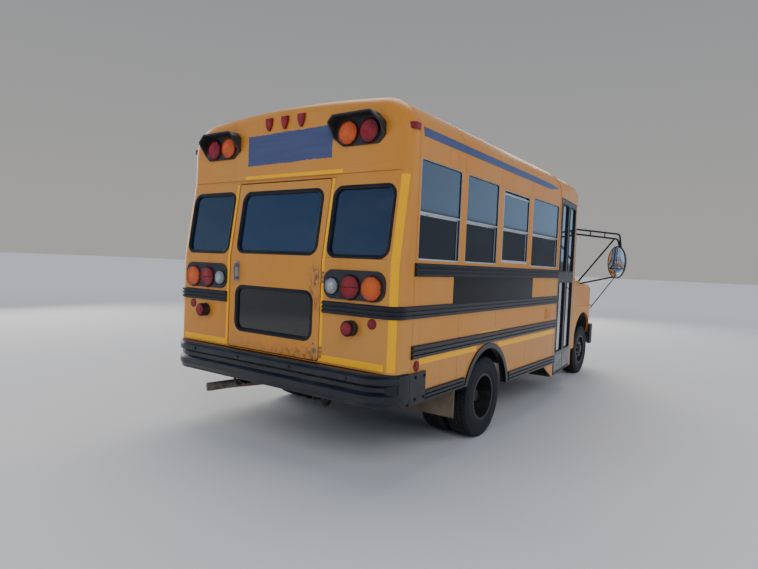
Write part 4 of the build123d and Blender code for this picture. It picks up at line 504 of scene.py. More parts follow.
def make_finishes():
    c = colours()
    yellow, faded, black, blue = tuple(c.yellow), tuple(c.faded), tuple(c.black), tuple(c.blue)
    FINISHES.update({
        "body_paint": enamel("yellow_enamel", yellow, faded, lined=True),
        "cap_paint": enamel("rear_cap_enamel", yellow, faded, mark=painted_out_panel),
        "outer_paint": enamel("cab_enamel", yellow, faded),
        "wall_paint": enamel("side_wall_enamel", yellow, faded, mark=bumper_corner, lined=True),
        "door_paint": enamel("rear_door_enamel", yellow, faded, mark=rust_at_door, lined=True),
        "black_paint": dark_paint("rail_black", black),
        "bumper_paint": dark_paint("bumper_black", black, 0.34, 0.3, 1.0),
        "panel_black": dark_paint("panel_black", (0.004, 0.005, 0.007), 0.1, 0.05, 1.8, 0.1),
        "stripe_blue": enamel("stripe_blue", blue, toned(blue, 1.25), 0.3, 0.5, 0.1),
        "tape": retroreflective("reflective_tape", tuple(c.tape)),
        "chassis_black": dark_paint("chassis_black", (0.016, 0.015, 0.014), 0.6, 0.7, 1.0),
        "interior_grey": enamel("interior_enamel", (0.36, 0.37, 0.36), (0.3, 0.31, 0.3), 0.45, 0.9, 0.3),
        "floor_rubber": ribbed_rubber("floor_covering", (0.045, 0.045, 0.047)),
        "aluminium": metal("window_aluminium", (0.74, 0.75, 0.76), 0.34, 0.75, 0.0, (1.0, 0.1, 0.1)),
        "glass": tinted_glass("tinted_glass", (0.055, 0.07, 0.092), (0.12, 0.12, 0.12), 0.7, 1.0,
                              rear_tint=REAR_TINT),
        "rear_glass": tinted_glass("rear_tinted_glass", REAR_TINT, (0.05, 0.07, 0.09), 0.45, 0.42,
                                   shaded_low_tint=(0.012, 0.012, 0.012)),
        "clear_glass": tinted_glass("windshield_glass", (0.62, 0.72, 0.7), (0.6, 0.6, 0.55), 0.95, 0.2),
        "gasket": rubber("black_gasket", (0.0075, 0.0085, 0.0105), 0.5, (0.07, 0.065, 0.06), 0.25),
        "lamp_red": lens("red_lens", (0.13, 0.002, 0.006), (0.42, 0.008, 0.014)),
        "lamp_amber": lens("amber_lens", (0.48, 0.06, 0.001), (0.85, 0.15, 0.004)),
        "lamp_clear": lens("clear_lens", (0.2, 0.21, 0.22), (0.78, 0.79, 0.8), 0.55),
        "black_plastic": moulded("black_plastic", (0.018, 0.019, 0.021)),
        "grey_plastic": moulded("grey_plastic", (0.19, 0.19, 0.2)),
        "cast": metal("cast_iron", (0.1, 0.092, 0.085), 0.62, 0.35, 0.6),
        "steel": metal("exhaust_steel", (0.25, 0.2, 0.16), 0.62, 0.35, 0.85),
        "flap_rubber": rubber("flap_rubber", (0.17, 0.12, 0.075), 0.8, (0.36, 0.27, 0.18), 0.8, 3.0),
        "vinyl": vinyl("seat_vinyl", (0.02, 0.026, 0.036)),
        "mirror": mirror_metal("mirror_glass"),
        "tyre": rubber("tyre_rubber", (0.0085, 0.0095, 0.0125), 0.75, (0.06, 0.055, 0.052), 0.35, 5.0),
        "rim_paint": dark_paint("rim_black", (0.01, 0.011, 0.013), 0.42, 0.35, 0.9),
        "stop_red": enamel("stop_red", (0.45, 0.01, 0.014), (0.5, 0.03, 0.03), 0.3, 0.6, 0.1),
        "worn_aluminium": metal("worn_aluminium", (0.3, 0.31, 0.31), 0.5, 0.6, 0.25, (1.0, 1.0, 0.15)),
        "white_film": enamel("white_film", (0.7, 0.7, 0.68), (0.62, 0.62, 0.58), 0.3, 0.5, 0.1),
        "piping": vinyl("seat_piping", (0.012, 0.015, 0.021)),
        "cloth_grey": woven("driver_cloth", (0.06, 0.062, 0.068)),
        "headlamp": clear_lens("headlamp_lens", (0.8, 0.82, 0.83)),
        "bright_nut": metal("bright_nut_steel", (0.62, 0.62, 0.6), 0.28, 0.95, 0.25),
        "worn_steel": metal("worn_steel", (0.34, 0.34, 0.34), 0.38, 0.85, 0.35),
        "rim_edge": metal("worn_rim_edge", (0.085, 0.075, 0.065), 0.5, 0.5, 0.6),
        "seam": dark_paint("panel_seam", (0.085, 0.045, 0.015), 0.7, 0.3, 1.0),
        "bolt": metal("bolt_steel", (0.3, 0.29, 0.27), 0.45, 0.8, 0.4),
    })


NODE_FINISHES = {
    "side_walls": "wall_paint", "rear_wall": "wall_paint", "front_cap": "outer_paint",
    "cab_shell": "outer_paint", "hood": "outer_paint", "fenders": "outer_paint",
    "driver_door": "outer_paint", "rear_cap": "cap_paint", "rear_door": "door_paint",
    "rear_bumper": "bumper_paint", "rear_door_glass": "rear_glass",
}


# Modelling


def clear_selection():
    if bpy.context.object and bpy.context.object.mode != "OBJECT":
        bpy.ops.object.mode_set(mode="OBJECT")
    bpy.ops.object.select_all(action="DESELECT")


def activate(piece):
    clear_selection()
    bpy.context.view_layer.objects.active = piece
    piece.select_set(True)


def link(name, data):
    """An object of its own for some data, in the scene."""
    made = bpy.data.objects.new(name, data)
    bpy.context.scene.collection.objects.link(made)
    return made


def mesh_object(name, vertices, faces, edges=()):
    mesh = bpy.data.meshes.new(name)
    mesh.from_pydata(vertices, edges, faces)
    mesh.update()
    return link(name, mesh)


def settle(piece):
    """Puts the piece's place into its mesh."""
    activate(piece)
    bpy.ops.object.transform_apply(location=True, rotation=True, scale=True)


def modify(piece, kind, **values):
    activate(piece)
    made = piece.modifiers.new(kind.lower(), kind)
    for name, value in values.items():
        setattr(made, name, value)
    bpy.ops.object.modifier_apply(modifier=made.name)


def bevelled(piece, width, segments=2):
    modify(piece, "BEVEL", width=width, segments=segments, limit_method="ANGLE")


def face_out(piece, nearness=0.00002):
    """Joins points that touch and turns every face outwards."""
    activate(piece)
    bpy.ops.object.mode_set(mode="EDIT")
    bpy.ops.mesh.select_all(action="SELECT")
    bpy.ops.mesh.remove_doubles(threshold=nearness)
    bpy.ops.mesh.normals_make_consistent(inside=False)
    bpy.ops.object.mode_set(mode="OBJECT")
    return piece


def join(name, pieces):
    activate(pieces[0])
    for piece in pieces[1:]:
        piece.select_set(True)
    if len(pieces) > 1:
        bpy.ops.object.join()
    made = bpy.context.object
    made.name = name
    return made


def dress(name, pieces, finish, body="root", replaces=(), angle=35):
    """Joins pieces to one, smooths and paints it, and puts it on its body."""
    piece = join(name, pieces)
    piece.data.materials.clear()
    piece.data.materials.append(FINISHES[finish])
    activate(piece)
    bpy.ops.object.shade_smooth_by_angle(angle=radians(angle))
    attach(piece, body)
    if replaces:
        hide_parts(*replaces)
    return piece


def block(name, x, y, z, bevel=0.002, segments=2):
    """A block between two places along each axis, with bevelled edges."""
    clear_selection()
    bpy.ops.mesh.primitive_cube_add(size=1, location=[(a + b) / 2 for a, b in (x, y, z)])
    made = bpy.context.object
    made.name = name
    made.scale = [abs(b - a) for a, b in (x, y, z)]
    settle(made)
    if bevel:
        bevelled(made, bevel, segments)
    return made


def prism(sides, radius, depth, z, bevel=0.0):
    """An upright prism with its middle at a height."""
    clear_selection()
    bpy.ops.mesh.primitive_cylinder_add(vertices=sides, radius=radius, depth=depth, location=(0, 0, z))
    made = bpy.context.object
    settle(made)
    if bevel:
        bevelled(made, bevel)
    return made


def turned(name, profile, centre, axis, steps=48, closed=False):
    """Spins a profile of (along the axis, radius) points round an axis through the centre."""
    along = Vector(axis).normalized()
    side = along.orthogonal().normalized()
    points = [Vector(centre) + along * a + side * r for a, r in profile]
    edges = [(i, i + 1) for i in range(len(points) - 1)]
    if closed:
        edges.append((len(points) - 1, 0))
    made = mesh_object(name, points, [], edges)
    activate(made)
    bpy.ops.object.mode_set(mode="EDIT")
    bpy.ops.mesh.select_all(action="SELECT")
    bpy.ops.mesh.spin(steps=steps, angle=2 * pi, center=centre, axis=along)
    return face_out(made, 0.00005)


def copies(pattern, places):
    """One piece that holds the pattern at each place, and removes the pattern."""
    made = bmesh.new()
    for place in places:
        copy = pattern.data.copy()
        copy.transform(place)
        made.from_mesh(copy)
        bpy.data.meshes.remove(copy)
    mesh = bpy.data.meshes.new("copies")
    made.to_mesh(mesh)
    made.free()
    bpy.data.objects.remove(pattern)
    return link("copies", mesh)


def quads(rows, width, round_rows=False, round_width=False):
    """Faces between neighbouring rows of points, which close to a ring where asked."""
    faces = []
    for row in range(rows if round_rows else rows - 1):
        following = (row + 1) % rows * width
        for index in range(width if round_width else width - 1):
            after = (index + 1) % width
            faces.append((row * width + index, row * width + after, following + after, following + index))
    return faces


def sheet(name, rows, thickness):
    """A thin sheet through rows of points, thickened to both sides."""
    points = [point for row in rows for point in row]
    made = mesh_object(name, points, quads(len(rows), len(rows[0])))
    modify(made, "SOLIDIFY", thickness=thickness, offset=0.0)
    return face_out(made)


def at(place, direction):
    """A move to a place, with the local Z turned along a direction."""
    turn = Vector(direction).to_track_quat("Z", "Y").to_matrix().to_4x4()
    return Matrix.Translation(place) @ turn


def rivet_head():
    """A low domed head that stands on the local XY plane."""
    radius = sizes().rivet_radius
    height = radius * 0.5
    profile = [(-0.0005, radius), (height * 0.35, radius * 0.92), (height * 0.8, radius * 0.62),
               (height, 0.0)]
    return turned("rivet", profile, (0, 0, 0), UPWARD, 10)


def hex_bolt(radius=0.011, height=0.007):
    """A hexagon head on a washer, standing on the local XY plane."""
    head = prism(6, radius, height, height / 2 + 0.002, 0.0012)
    return join("bolt", [head, prism(20, radius * 1.35, 0.003, 0.0012)])


# Operators


class BUS_OT_finishes(bpy.types.Operator):
    """Makes every finish and paints the CAD nodes with it"""

    bl_idname = "bus.finishes"
    bl_label = "Finishes"

    def execute(self, context):
        make_finishes()
        slots = {part["node"]: part["material_slot"] for part in frame["record"]["subparts"]}
        for name, piece in frame["nodes"].items():
            finish = NODE_FINISHES.get(name, slots[name])
            piece.data.materials.clear()
            piece.data.materials.append(FINISHES[finish])
        return {"FINISHED"}


def side_plate(name, side, y, z, thickness):
    """A thin plate on the flat side wall."""
    return block(name, (side * HALF_WIDTH, side * (HALF_WIDTH + thickness)), y, z, 0.0)


def stations(front, rear):
    return station(front), station(rear)


def rear_strip(name, x, levels, thickness, out=None):
    """A strip between two sides on the rear face, which follows its lean."""
    out = thickness / 2 if out is None else out
    rows = [[(across, rear_y(z) + out, z) for across in sorted(x)] for z in levels]
    return sheet(name, rows, thickness)


class BUS_OT_tape(bpy.types.Operator):
    """Lays the reflective tape on the rear and the sides"""

    bl_idname = "bus.tape"
    bl_label = "Reflective tape"

    def execute(self, context):
        thick, wide = sizes().tape_thickness, sizes().tape_width
        arch_half = 0.006
        strips = []
        for side, edge in ((1, 0.53), (-1, 0.527)):
            strips.append(rear_strip("bottom_tape", (side * (edge + 0.026), side * 1.124),
                                     (TAPE_LOW_Z, TAPE_LOW_Z + wide), thick))
            strips.append(rear_strip("door_side_tape", (side * edge, side * (edge + 0.024)),
                                     (TAPE_LOW_Z, REAR_KNEE_Z, 2.196), thick))
            rows = []
            reach = CORNER_RADIUS + thick / 2
            for index in range(13):
                angle = radians(17 + (54 - 17) * index / 12)
                x = side * (HALF_WIDTH - CORNER_RADIUS + reach * sin(angle))
                back = CORNER_RADIUS - reach * cos(angle)
                rows.append([(x, rear_y(z) - back, z) for z in (TAPE_LOW_Z, REAR_KNEE_Z, 2.2)])
            strips.append(sheet("corner_tape", rows, thick))
            for front, rear, z, half in ((0.246, 1.234, 0.852, wide / 2), (-1.923, -0.238, 0.836, wide / 2),
                                         (-0.262, 0.206, 0.984, arch_half)):
                strips.append(side_plate("side_tape", side, stations(front, rear), (z - half, z + half),
                                         thick))
        strips.append(block("header_tape", (-0.625, 0.46), (REAR_CAP_Y, REAR_CAP_Y + thick),
                            (2.236, 2.264), 0.0))
        dress("reflective_tape", [face_out(join("tape", strips))], "tape")
        return {"FINISHED"}


# The dark name panel between the rails: front and rear from the rear axle, and its heights
PANEL_FRONT, PANEL_REAR = -1.1, 0.743
PANEL_LOW, PANEL_HIGH = 1.264, 1.481
# The stripe on the roof's shoulder: its ends from the rear axle, its heights, and how much of it tapers
STRIPE_REAR, STRIPE_FRONT = 1.3, -1.834
STRIPE_LOW, STRIPE_HIGH = 2.492, 2.56
STRIPE_POINT = 0.1


class BUS_OT_stripe(bpy.types.Operator):
    """Lays the blue stripe on the roof's shoulder and the black name panel below the windows"""

    bl_idname = "bus.stripe"
    bl_label = "Stripe and side panel"

    def execute(self, context):
        thick = sizes().tape_thickness
        stripes, panels = [], []
        for side in (1, -1):
            rows = []
            for index in range(49):
                share = index / 48
                y = station(STRIPE_REAR + (STRIPE_FRONT - STRIPE_REAR) * share)
                point = max(0.0, (share - (1 - STRIPE_POINT)) / STRIPE_POINT)
                z_low, z_high = STRIPE_LOW + 0.043 * point, STRIPE_HIGH - 0.02 * point
                row = []
                for step in range(7):
                    z = z_low + (z_high - z_low) * step / 6
                    lean = sqrt((SHOULDER_RADIUS + thick) ** 2 - (z - SHOULDER_Z) ** 2)
                    row.append((side * (HALF_WIDTH - SHOULDER_RADIUS + lean), y, z))
                rows.append(row)
            stripes.append(sheet("stripe", rows, thick))
            panels.append(side_plate("panel", side, stations(PANEL_FRONT, PANEL_REAR),
                                     (PANEL_LOW, PANEL_HIGH), thick))
        dress("roof_stripe", [face_out(join("stripe", stripes))], "stripe_blue")
        dress("side_name_panel", panels, "panel_black")
        return {"FINISHED"}


# Places along the side where body panels lap, from the rear axle
PANEL_SEAMS = (1.345, 0.618, -0.142, -0.96, -1.915)
# Heights of the laps between the rails, and where the side's rows of rivets run from the rear axle
BELT_LAP = (1.266, 1.479)
MIDDLE_LAP = (0.977, 1.173)
RIVET_LEVELS = (1.452, 1.146, 2.47)
RIVET_FRONT, RIVET_REAR = -1.93, 1.33


def wall_laps(place):
    """The heights between which a lap shows on the side wall."""
    window_top = 1.577 if place in (PANEL_SEAMS[0], PANEL_SEAMS[-1]) else WINDOW_HIGH
    over_arch = -0.6 < place < 0.6
    foot = 0.98 if over_arch else (0.64 if place > 0 else 0.545)
    laps = [(window_top, SHOULDER_Z), BELT_LAP, MIDDLE_LAP, (foot, 0.877)]
    return [lap for lap in laps if lap[0] < lap[1]
            and not (lap == BELT_LAP and PANEL_FRONT < place < PANEL_REAR)]


class BUS_OT_seams(bpy.types.Operator):
    """Draws the laps of the body panels and sets their rows of rivets"""

    bl_idname = "bus.seams"
    bl_label = "Seams and rivets"

    def execute(self, context):
        lift, half_lap, beside = 0.0004, 0.0011, 0.014
        reach = HALF_WIDTH - SHOULDER_RADIUS
        pitch = sizes().rivet_pitch
        seams, places = [], []
        for place in PANEL_SEAMS:
            y = station(place)
            lap_y = (y - half_lap, y + half_lap)
            outline = roof_outline(lift)
            rows = [[(x, along, z) for along in lap_y] for x, z in outline]
            seams.append(sheet("roof_seam", rows, 0.0006))
            for x, z in outline[2:-2]:
                away = (x - max(-reach, min(reach, x)), 0, z - SHOULDER_Z if abs(x) > reach else 1.0)
                places.append(at((x, y + beside, z), away))
            for side in (1, -1):
                for low, high in wall_laps(place):
                    seams.append(side_plate("wall_seam", side, lap_y, (low, high), lift))
                    count = int((high - low) / 0.085)
                    for index in range(count):
                        z = low + (index + 0.7) * (high - low) / (count + 0.4)
                        places.append(at((side * HALF_WIDTH, y + beside, z), (side, 0, 0)))
        for side in (1, -1):
            for z in RIVET_LEVELS:
                for index in range(int((RIVET_REAR - RIVET_FRONT) / pitch) + 1):
                    along = RIVET_FRONT + index * pitch
                    if not (PANEL_LOW < z < PANEL_HIGH and PANEL_FRONT < along < PANEL_REAR):
                        places.append(at((side * HALF_WIDTH, station(along), z), (side, 0, 0)))
            across = (side * 0.557, side * 1.12)
            cap_y, belt_y = rear_y(2.2305), rear_y(1.5885)
            seams += [block("cap_seam", across, (cap_y, cap_y + lift), (2.2293, 2.2317), 0.0),
                      block("belt_seam", across, (REAR_FACE_Y - 0.004, belt_y + lift), (1.5885, 1.5905), 0.0)]
            for index in range(15):
                x = side * (0.575 + index * 0.038)
                places += [at((x, rear_y(2.214), 2.214), (0, 1, 0.14)), at((x, REAR_CAP_Y, 2.29), REARWARD)]
        dress("panel_laps", seams, "seam", angle=60)
        dress("body_rivets", [copies(rivet_head(), places)], "body_paint")
        return {"FINISHED"}


# Windows

# Mouldings as (outward, proud) points: window rubbers, push-out frame, sash lip, sash bead, door glazing
RUBBER_SECTION = ((0.007, 0.0), (0.007, 0.003), (0.002, 0.0065), (-0.006, 0.0078), (-0.0095, 0.0048),
                  (-0.013, 0.0078), (-0.019, 0.0058), (-0.0225, 0.001), (-0.0225, -0.032), (-0.004, -0.032),
                  (-0.001, 0.0))
PUSH_OUT_SECTION = ((0.0005, -0.03), (0.0005, 0.003), (-0.018, 0.003), (-0.0205, 0.001), (-0.0205, -0.03))
LIP_SECTION = ((0.0008, -0.03), (0.0008, 0.0015), (-0.0025, 0.0035), (-0.007, 0.0028), (-0.0075, -0.03))
BEAD_SECTION = ((-0.0075, -0.028), (-0.0075, 0.0012), (-0.0105, 0.0008), (-0.0125, -0.003), (-0.0125, -0.028))
GLAZING_SECTION = ((0.006, 0.0), (0.005, 0.004), (-0.001, 0.0055), (-0.006, 0.004), (-0.009, 0.0),
                   (-0.009, -0.036), (0.0, -0.036))
# Rear windows: their sides, foot and head
REAR_SIDE_WINDOWS = ((0.56, 1.126, 1.597, 2.13), (-1.126, -0.56, 1.597, 2.13))
REAR_DOOR_WINDOWS = ((-0.455, 0.455, 1.606, 2.123), (-0.44, 0.44, 0.942, 1.324))
REAR_WINDOW_RADIUS = 0.08
HINGE_X = -0.52
HINGE_LEVELS = (0.87, 1.44)
HANDLE_X = 0.425


def rounded_loop(low_a, high_a, low_b, high_b, radius, steps=7):
    """Corner centres and outward directions round a rounded rectangle."""
    loop = []
    for a, b, start in ((high_a - radius, high_b - radius, 0), (low_a + radius, high_b - radius, 90),
                        (low_a + radius, low_b + radius, 180), (high_a - radius, low_b + radius, 270)):
        for step in range(steps + 1):
            angle = radians(start + 90 * step / steps)
            loop.append((a, b, cos(angle), sin(angle)))
    return loop


def loop_frame(name, window, radius, section, place):
    """A moulding round a rounded rectangle, whose points the place function sets."""
    loop = rounded_loop(*window, radius)
    vertices = [place(a + (radius + out) * along_a, b + (radius + out) * along_b, up)
                for a, b, along_a, along_b in loop for out, up in section]
    return face_out(mesh_object(name, vertices, quads(len(loop), len(section), True, True)))


def rod(name, points, radius, sides=8, rounds=3):
    """A round bar along a smooth line through the points."""
    path = [Vector(p) for p in points]
    for _ in range(rounds if len(path) > 2 else 0):
        cut = [path[0]]
        for a, b in zip(path, path[1:]):
            cut += [a.lerp(b, 0.25), a.lerp(b, 0.75)]
        path = [*cut, path[-1]]
    curve = bpy.data.curves.new(name, "CURVE")
    curve.dimensions = "3D"
    curve.bevel_depth = radius
    curve.bevel_resolution = sides // 4
    curve.use_fill_caps = True
    line = curve.splines.new("POLY")
    line.points.add(len(path) - 1)
    for point, place in zip(line.points, path):
        point.co = (*place, 1.0)
    activate(link(name, curve))
    bpy.ops.object.convert(target="MESH")
    return face_out(bpy.context.object)


def on_rear(x, z, up):
    return (x, rear_y(z) + up, z)


class BUS_OT_rear_windows(bpy.types.Operator):
    """Moulds the rubber round the rear windows, and the door's handle"""

    bl_idname = "bus.rear_windows"
    bl_label = "Rear window rubbers and handle"

    def execute(self, context):
        for name, windows, body, covered in (
                ("rear_window_rubbers", REAR_SIDE_WINDOWS, "root", "window_gaskets"),
                ("rear_door_rubbers", REAR_DOOR_WINDOWS, "rear_door", "rear_door_fittings")):
            rings = [loop_frame("rubber", window, REAR_WINDOW_RADIUS, RUBBER_SECTION, on_rear)
                     for window in windows]
            dress(name, rings, "gasket", body, [covered], 50)
        x, y = HANDLE_X, REAR_FACE_Y
        grip = ((0.03, 1.372), (0.039, 1.385), (0.041, 1.44), (0.039, 1.497), (0.03, 1.51))
        parts = [rod("handle_bar", [(x, y + out, z) for out, z in grip], 0.0085, 12),
                 block("handle_plate", (x - 0.022, x + 0.022), (y, y + 0.003), (1.352, 1.53), 0.0012)]
        for z in (1.385, 1.497):
            parts.append(block("handle_foot", (x - 0.012, x + 0.012), (y, y + 0.034), (z - 0.013, z + 0.013),
                               0.004, 3))
        dress("rear_door_handle", parts, "worn_steel", "rear_door")
        return {"FINISHED"}


class BUS_OT_rear_door(bpy.types.Operator):
    """Puts the gutter, seals and hinge bolts of the rear door in place"""

    bl_idname = "bus.rear_door"
    bl_label = "Rear door hardware"

    def execute(self, context):
        leaf_bolts, wall_bolts = [], []
        raised = REAR_FACE_Y + 0.005
        for z in HINGE_LEVELS:
            leaf_bolts += [at((HINGE_X + 0.045, raised, z + 0.01), REARWARD),
                           at((HINGE_X + 0.045, raised, z - 0.01), REARWARD),
                           at((HINGE_X + 0.028, raised, z), REARWARD),
                           at((HINGE_X + 0.058, REAR_FACE_Y, z + 0.055), REARWARD),
                           at((HINGE_X + 0.058, REAR_FACE_Y, z - 0.055), REARWARD)]
            wall_bolts += [at((HINGE_X - 0.02, raised, z + up), REARWARD) for up in (0.034, 0.0, -0.034)]
        for name, places, body in (("door_hinge_bolts", leaf_bolts, "rear_door"),
                                   ("wall_hinge_bolts", wall_bolts, "root")):
            dress(name, [copies(hex_bolt(0.0065, 0.004), places)], "bolt", body)
        z = 2.206
        rows = [[(x, rear_y(z) + out, z + up) for x in (-0.556, 0.556)]
                for out, up in ((0.0, 0.0), (0.007, -0.001), (0.01, 0.003), (0.009, 0.0065))]
        dress("door_gutter", [sheet("gutter", rows, 0.0018)], "body_paint")
        seals = [rear_strip("door_seal", (side * (edge - 0.003), side * (edge + 0.003)),
                            (0.806, REAR_KNEE_Z, 2.19), 0.008, -0.014)
                 for side, edge in ((1, 0.5215), (-1, 0.52))]
        top_y = rear_y(2.199)
        seals.append(block("door_seal", (-0.515, 0.515), (top_y - 0.018, top_y - 0.01), (2.1965, 2.2015),
                           0.0))
        dress("door_edge_seals", seals, "gasket")
        return {"FINISHED"}


class BUS_OT_side_windows(bpy.types.Operator):
    """Fits the slim sashes, rubbers, latches and panes of the side windows"""

    bl_idname = "bus.side_windows"
    bl_label = "Side windows"

    def execute(self, context):
        metal_parts, rubbers, panes, inlays = [], [], [], []
        skin_x = HALF_WIDTH - 0.005
        for side in (1, -1):

            def place(y, z, up):
                return (side * (skin_x + up), y, z)

            def bar(name, y, z, depths, bevel=0.0015):
                return block(name, [side * (skin_x + depth) for depth in depths], y, z, bevel)

            for number, (rear, front) in enumerate(WINDOWS):
                low_y, high_y, low_z, high_z = *stations(front, rear), WINDOW_LOW, WINDOW_HIGH
                corner, sill, drop = 0.03, 0.013, 0.008
                push_out = number == PUSH_OUT_WINDOW
                if push_out:
                    # The push-out window stands in a painted frame of its own
                    inlays.append(loop_frame("push_out_frame", (low_y, high_y, low_z, high_z), corner,
                                             PUSH_OUT_SECTION, place))
                    low_y, high_y = low_y + 0.0205, high_y - 0.0205
                    low_z, high_z = low_z + 0.026, high_z - 0.024
                    for z in ((WINDOW_LOW + 0.01, low_z), (high_z, WINDOW_HIGH - 0.01)):
                        inlays.append(bar("cross_bar", (low_y - 0.01, high_y + 0.01), z, (-0.03, 0.0025)))
                    corner, sill, drop = 0.012, 0.024, 0.04
                edges, span = (low_y, high_y, low_z, high_z), (low_y + 0.006, high_y - 0.006)
                top = high_z - drop
                metal_parts += [
                    loop_frame("lip", edges, corner, LIP_SECTION, place),
                    bar("sill", span, (low_z + 0.004, low_z + sill), (-0.026, 0.0042)),
                    bar("meeting_rail", span, (SASH_Z - 0.0075, SASH_Z + 0.0075), (-0.028, 0.0015)),
                    bar("rail_foot", span, (SASH_Z - 0.018, SASH_Z - 0.0075), (-0.03, -0.012), 0.001)]
                rubbers.append(loop_frame("bead", edges, corner, BEAD_SECTION, place))
                if push_out:
                    metal_parts.append(bar("low_rail", span, (top - 0.004, top + 0.012), (-0.024, 0.0005)))
                for y in ((low_y + 0.008, low_y + 0.017), (high_y - 0.017, high_y - 0.008)):
                    metal_parts.append(bar("jamb", y, (low_z + 0.012, SASH_Z), (-0.026, -0.013), 0.001))
                panes += [bar("upper_pane", span, (SASH_Z, top), (-0.0095, -0.006), 0.0),
                          bar("lower_pane", span, (low_z + 0.006, SASH_Z), (-0.0225, -0.019), 0.0)]
                for y in (low_y + 0.11, high_y - 0.11):
                    rubbers.append(bar("latch", (y - 0.028, y + 0.028), (SASH_Z - 0.014, SASH_Z + 0.006),
                                       (-0.052, -0.028), 0.004))
        dress("sash_frames", metal_parts, "aluminium", replaces=["window_frames"])
        dress("sash_rubbers", rubbers, "gasket")
        dress("sash_panes", panes, "glass")
        dress("push_out_frames", inlays, "outer_paint")
        return {"FINISHED"}


# Lamps

# Round lamps on the rear face: finish, distance from the middle, height, radius, depth from the plate
TAIL_LAMPS = (("lamp_clear", 0.639, 1.38, 0.06, 0.022), ("lamp_red", 0.812, 1.38, 0.087, 0.024),
              ("lamp_amber", 1.006, 1.38, 0.087, 0.024))
# Warning lamps over the rear and the front: face, way out, distance from the middle and height
WARNING_LAMPS = ((REAR_CAP_Y, 1, 0.771, 2.523), (FRONT_CAP_Y, -1, 0.67, 2.425))
# Small clearance lamps: finish, height, face, way out, and their shield's outline
CLEARANCE_LAMPS = (("lamp_red", 2.685, REAR_CAP_Y, 1), ("lamp_amber", 2.635, FRONT_BROW_Y, -1))
CLEARANCE_PITCH = 0.182
SHIELD = ((-0.037, 0.045), (-0.037, 0.01), (-0.03, -0.018), (-0.014, -0.052), (-0.008, -0.058),
          (0.008, -0.058), (0.014, -0.052), (0.03, -0.018), (0.037, 0.01), (0.037, 0.045))


def mark_reflector_highlight(piece, centre, radius):
    """Marks how near each point is to the lamp's middle, for the painted reflector highlight of its finish.
    """
    mark = piece.data.attributes.new("glow", "FLOAT", "POINT")
    for index, vertex in enumerate(piece.data.vertices):
        away = (vertex.co - Vector(centre)).length / radius
        mark.data[index].value = max(0.0, 1.0 - away) ** 0.7 * 0.85 + 0.15
    return piece


def round_lens(centre, axis, radius, depth, rings=8, dome=0.35):
    """A moulded round lens with a rim and rings of prisms over a low dome."""
    profile = [(0.0, radius), (depth * 0.5, radius), (depth * 0.62, radius * 0.985),
               (depth * 0.66, radius * 0.955)]
    inner = radius * 0.945

    def crown(r):
        return depth * (1.0 - dome) + depth * dome * (1.0 - (r / inner) ** 2) - 0.0012

    for ring in range(rings):
        outer_r = inner * (1 - ring / rings)
        middle_r = inner * (1 - (ring + 0.25) / rings)
        profile += [(crown(outer_r) - 0.0012, outer_r), (crown(middle_r) + 0.001, middle_r)]
    profile.append((crown(0.0) + 0.0005, 0.0))
    made = turned("lens", profile, centre, axis, 56)
    return mark_reflector_highlight(made, Vector(centre) + Vector(axis).normalized() * depth * 0.8, radius)


def ring_seal(centre, axis, radius, section=0.005, height=0.006):
    """A rubber ring round a lamp."""
    profile = [(0.0, radius), (0.0, radius + section * 1.6), (height * 0.6, radius + section * 1.5),
               (height, radius + section), (height * 0.9, radius + section * 0.3), (height * 0.4, radius)]
    return turned("lamp_rubber", profile, centre, axis, 56, closed=True)


def shield_lens(x, z, y, outwards):
    """A small clearance lamp: a shield-shaped lens with a stepped face."""
    depth, count = 0.026, len(SHIELD)
    rings = ((1.0, 0.0), (1.0, 0.55), (0.93, 0.75), (0.8, 0.8), (0.72, 1.0), (0.3, 1.0))
    vertices = [(x + a * scale, y + outwards * depth * out, z + b * scale)
                for scale, out in rings for a, b in SHIELD]
    faces = quads(len(rings), count, round_width=True)
    faces += [tuple(range((len(rings) - 1) * count, len(rings) * count)), tuple(reversed(range(count)))]
    made = face_out(mesh_object("shield", vertices, faces))
    return mark_reflector_highlight(made, (x, y + outwards * depth, z), 0.06)


def tail_lamp_trim(finish, centre, radius, depth):
    """The tabs that hold a tail lamp's lens, and the bar across the red one."""
    x, y, z = centre
    parts = []
    for angle in range(0, 360, 90):
        tab = block("lens_tab", (-0.007, 0.007), (0.0, depth * 0.66), (radius - 0.008, radius + 0.006))
        tab.data.transform(Matrix.Translation(centre) @ Matrix.Rotation(radians(angle), 4, "Y"))
        parts.append(tab)
    if finish == "lamp_red":
        parts.append(block("lens_bar", (x - radius * 0.95, x + radius * 0.95),
                           (y + depth * 0.5, y + depth + 0.0012), (z - 0.0022, z + 0.0022), 0.0008))
    return parts


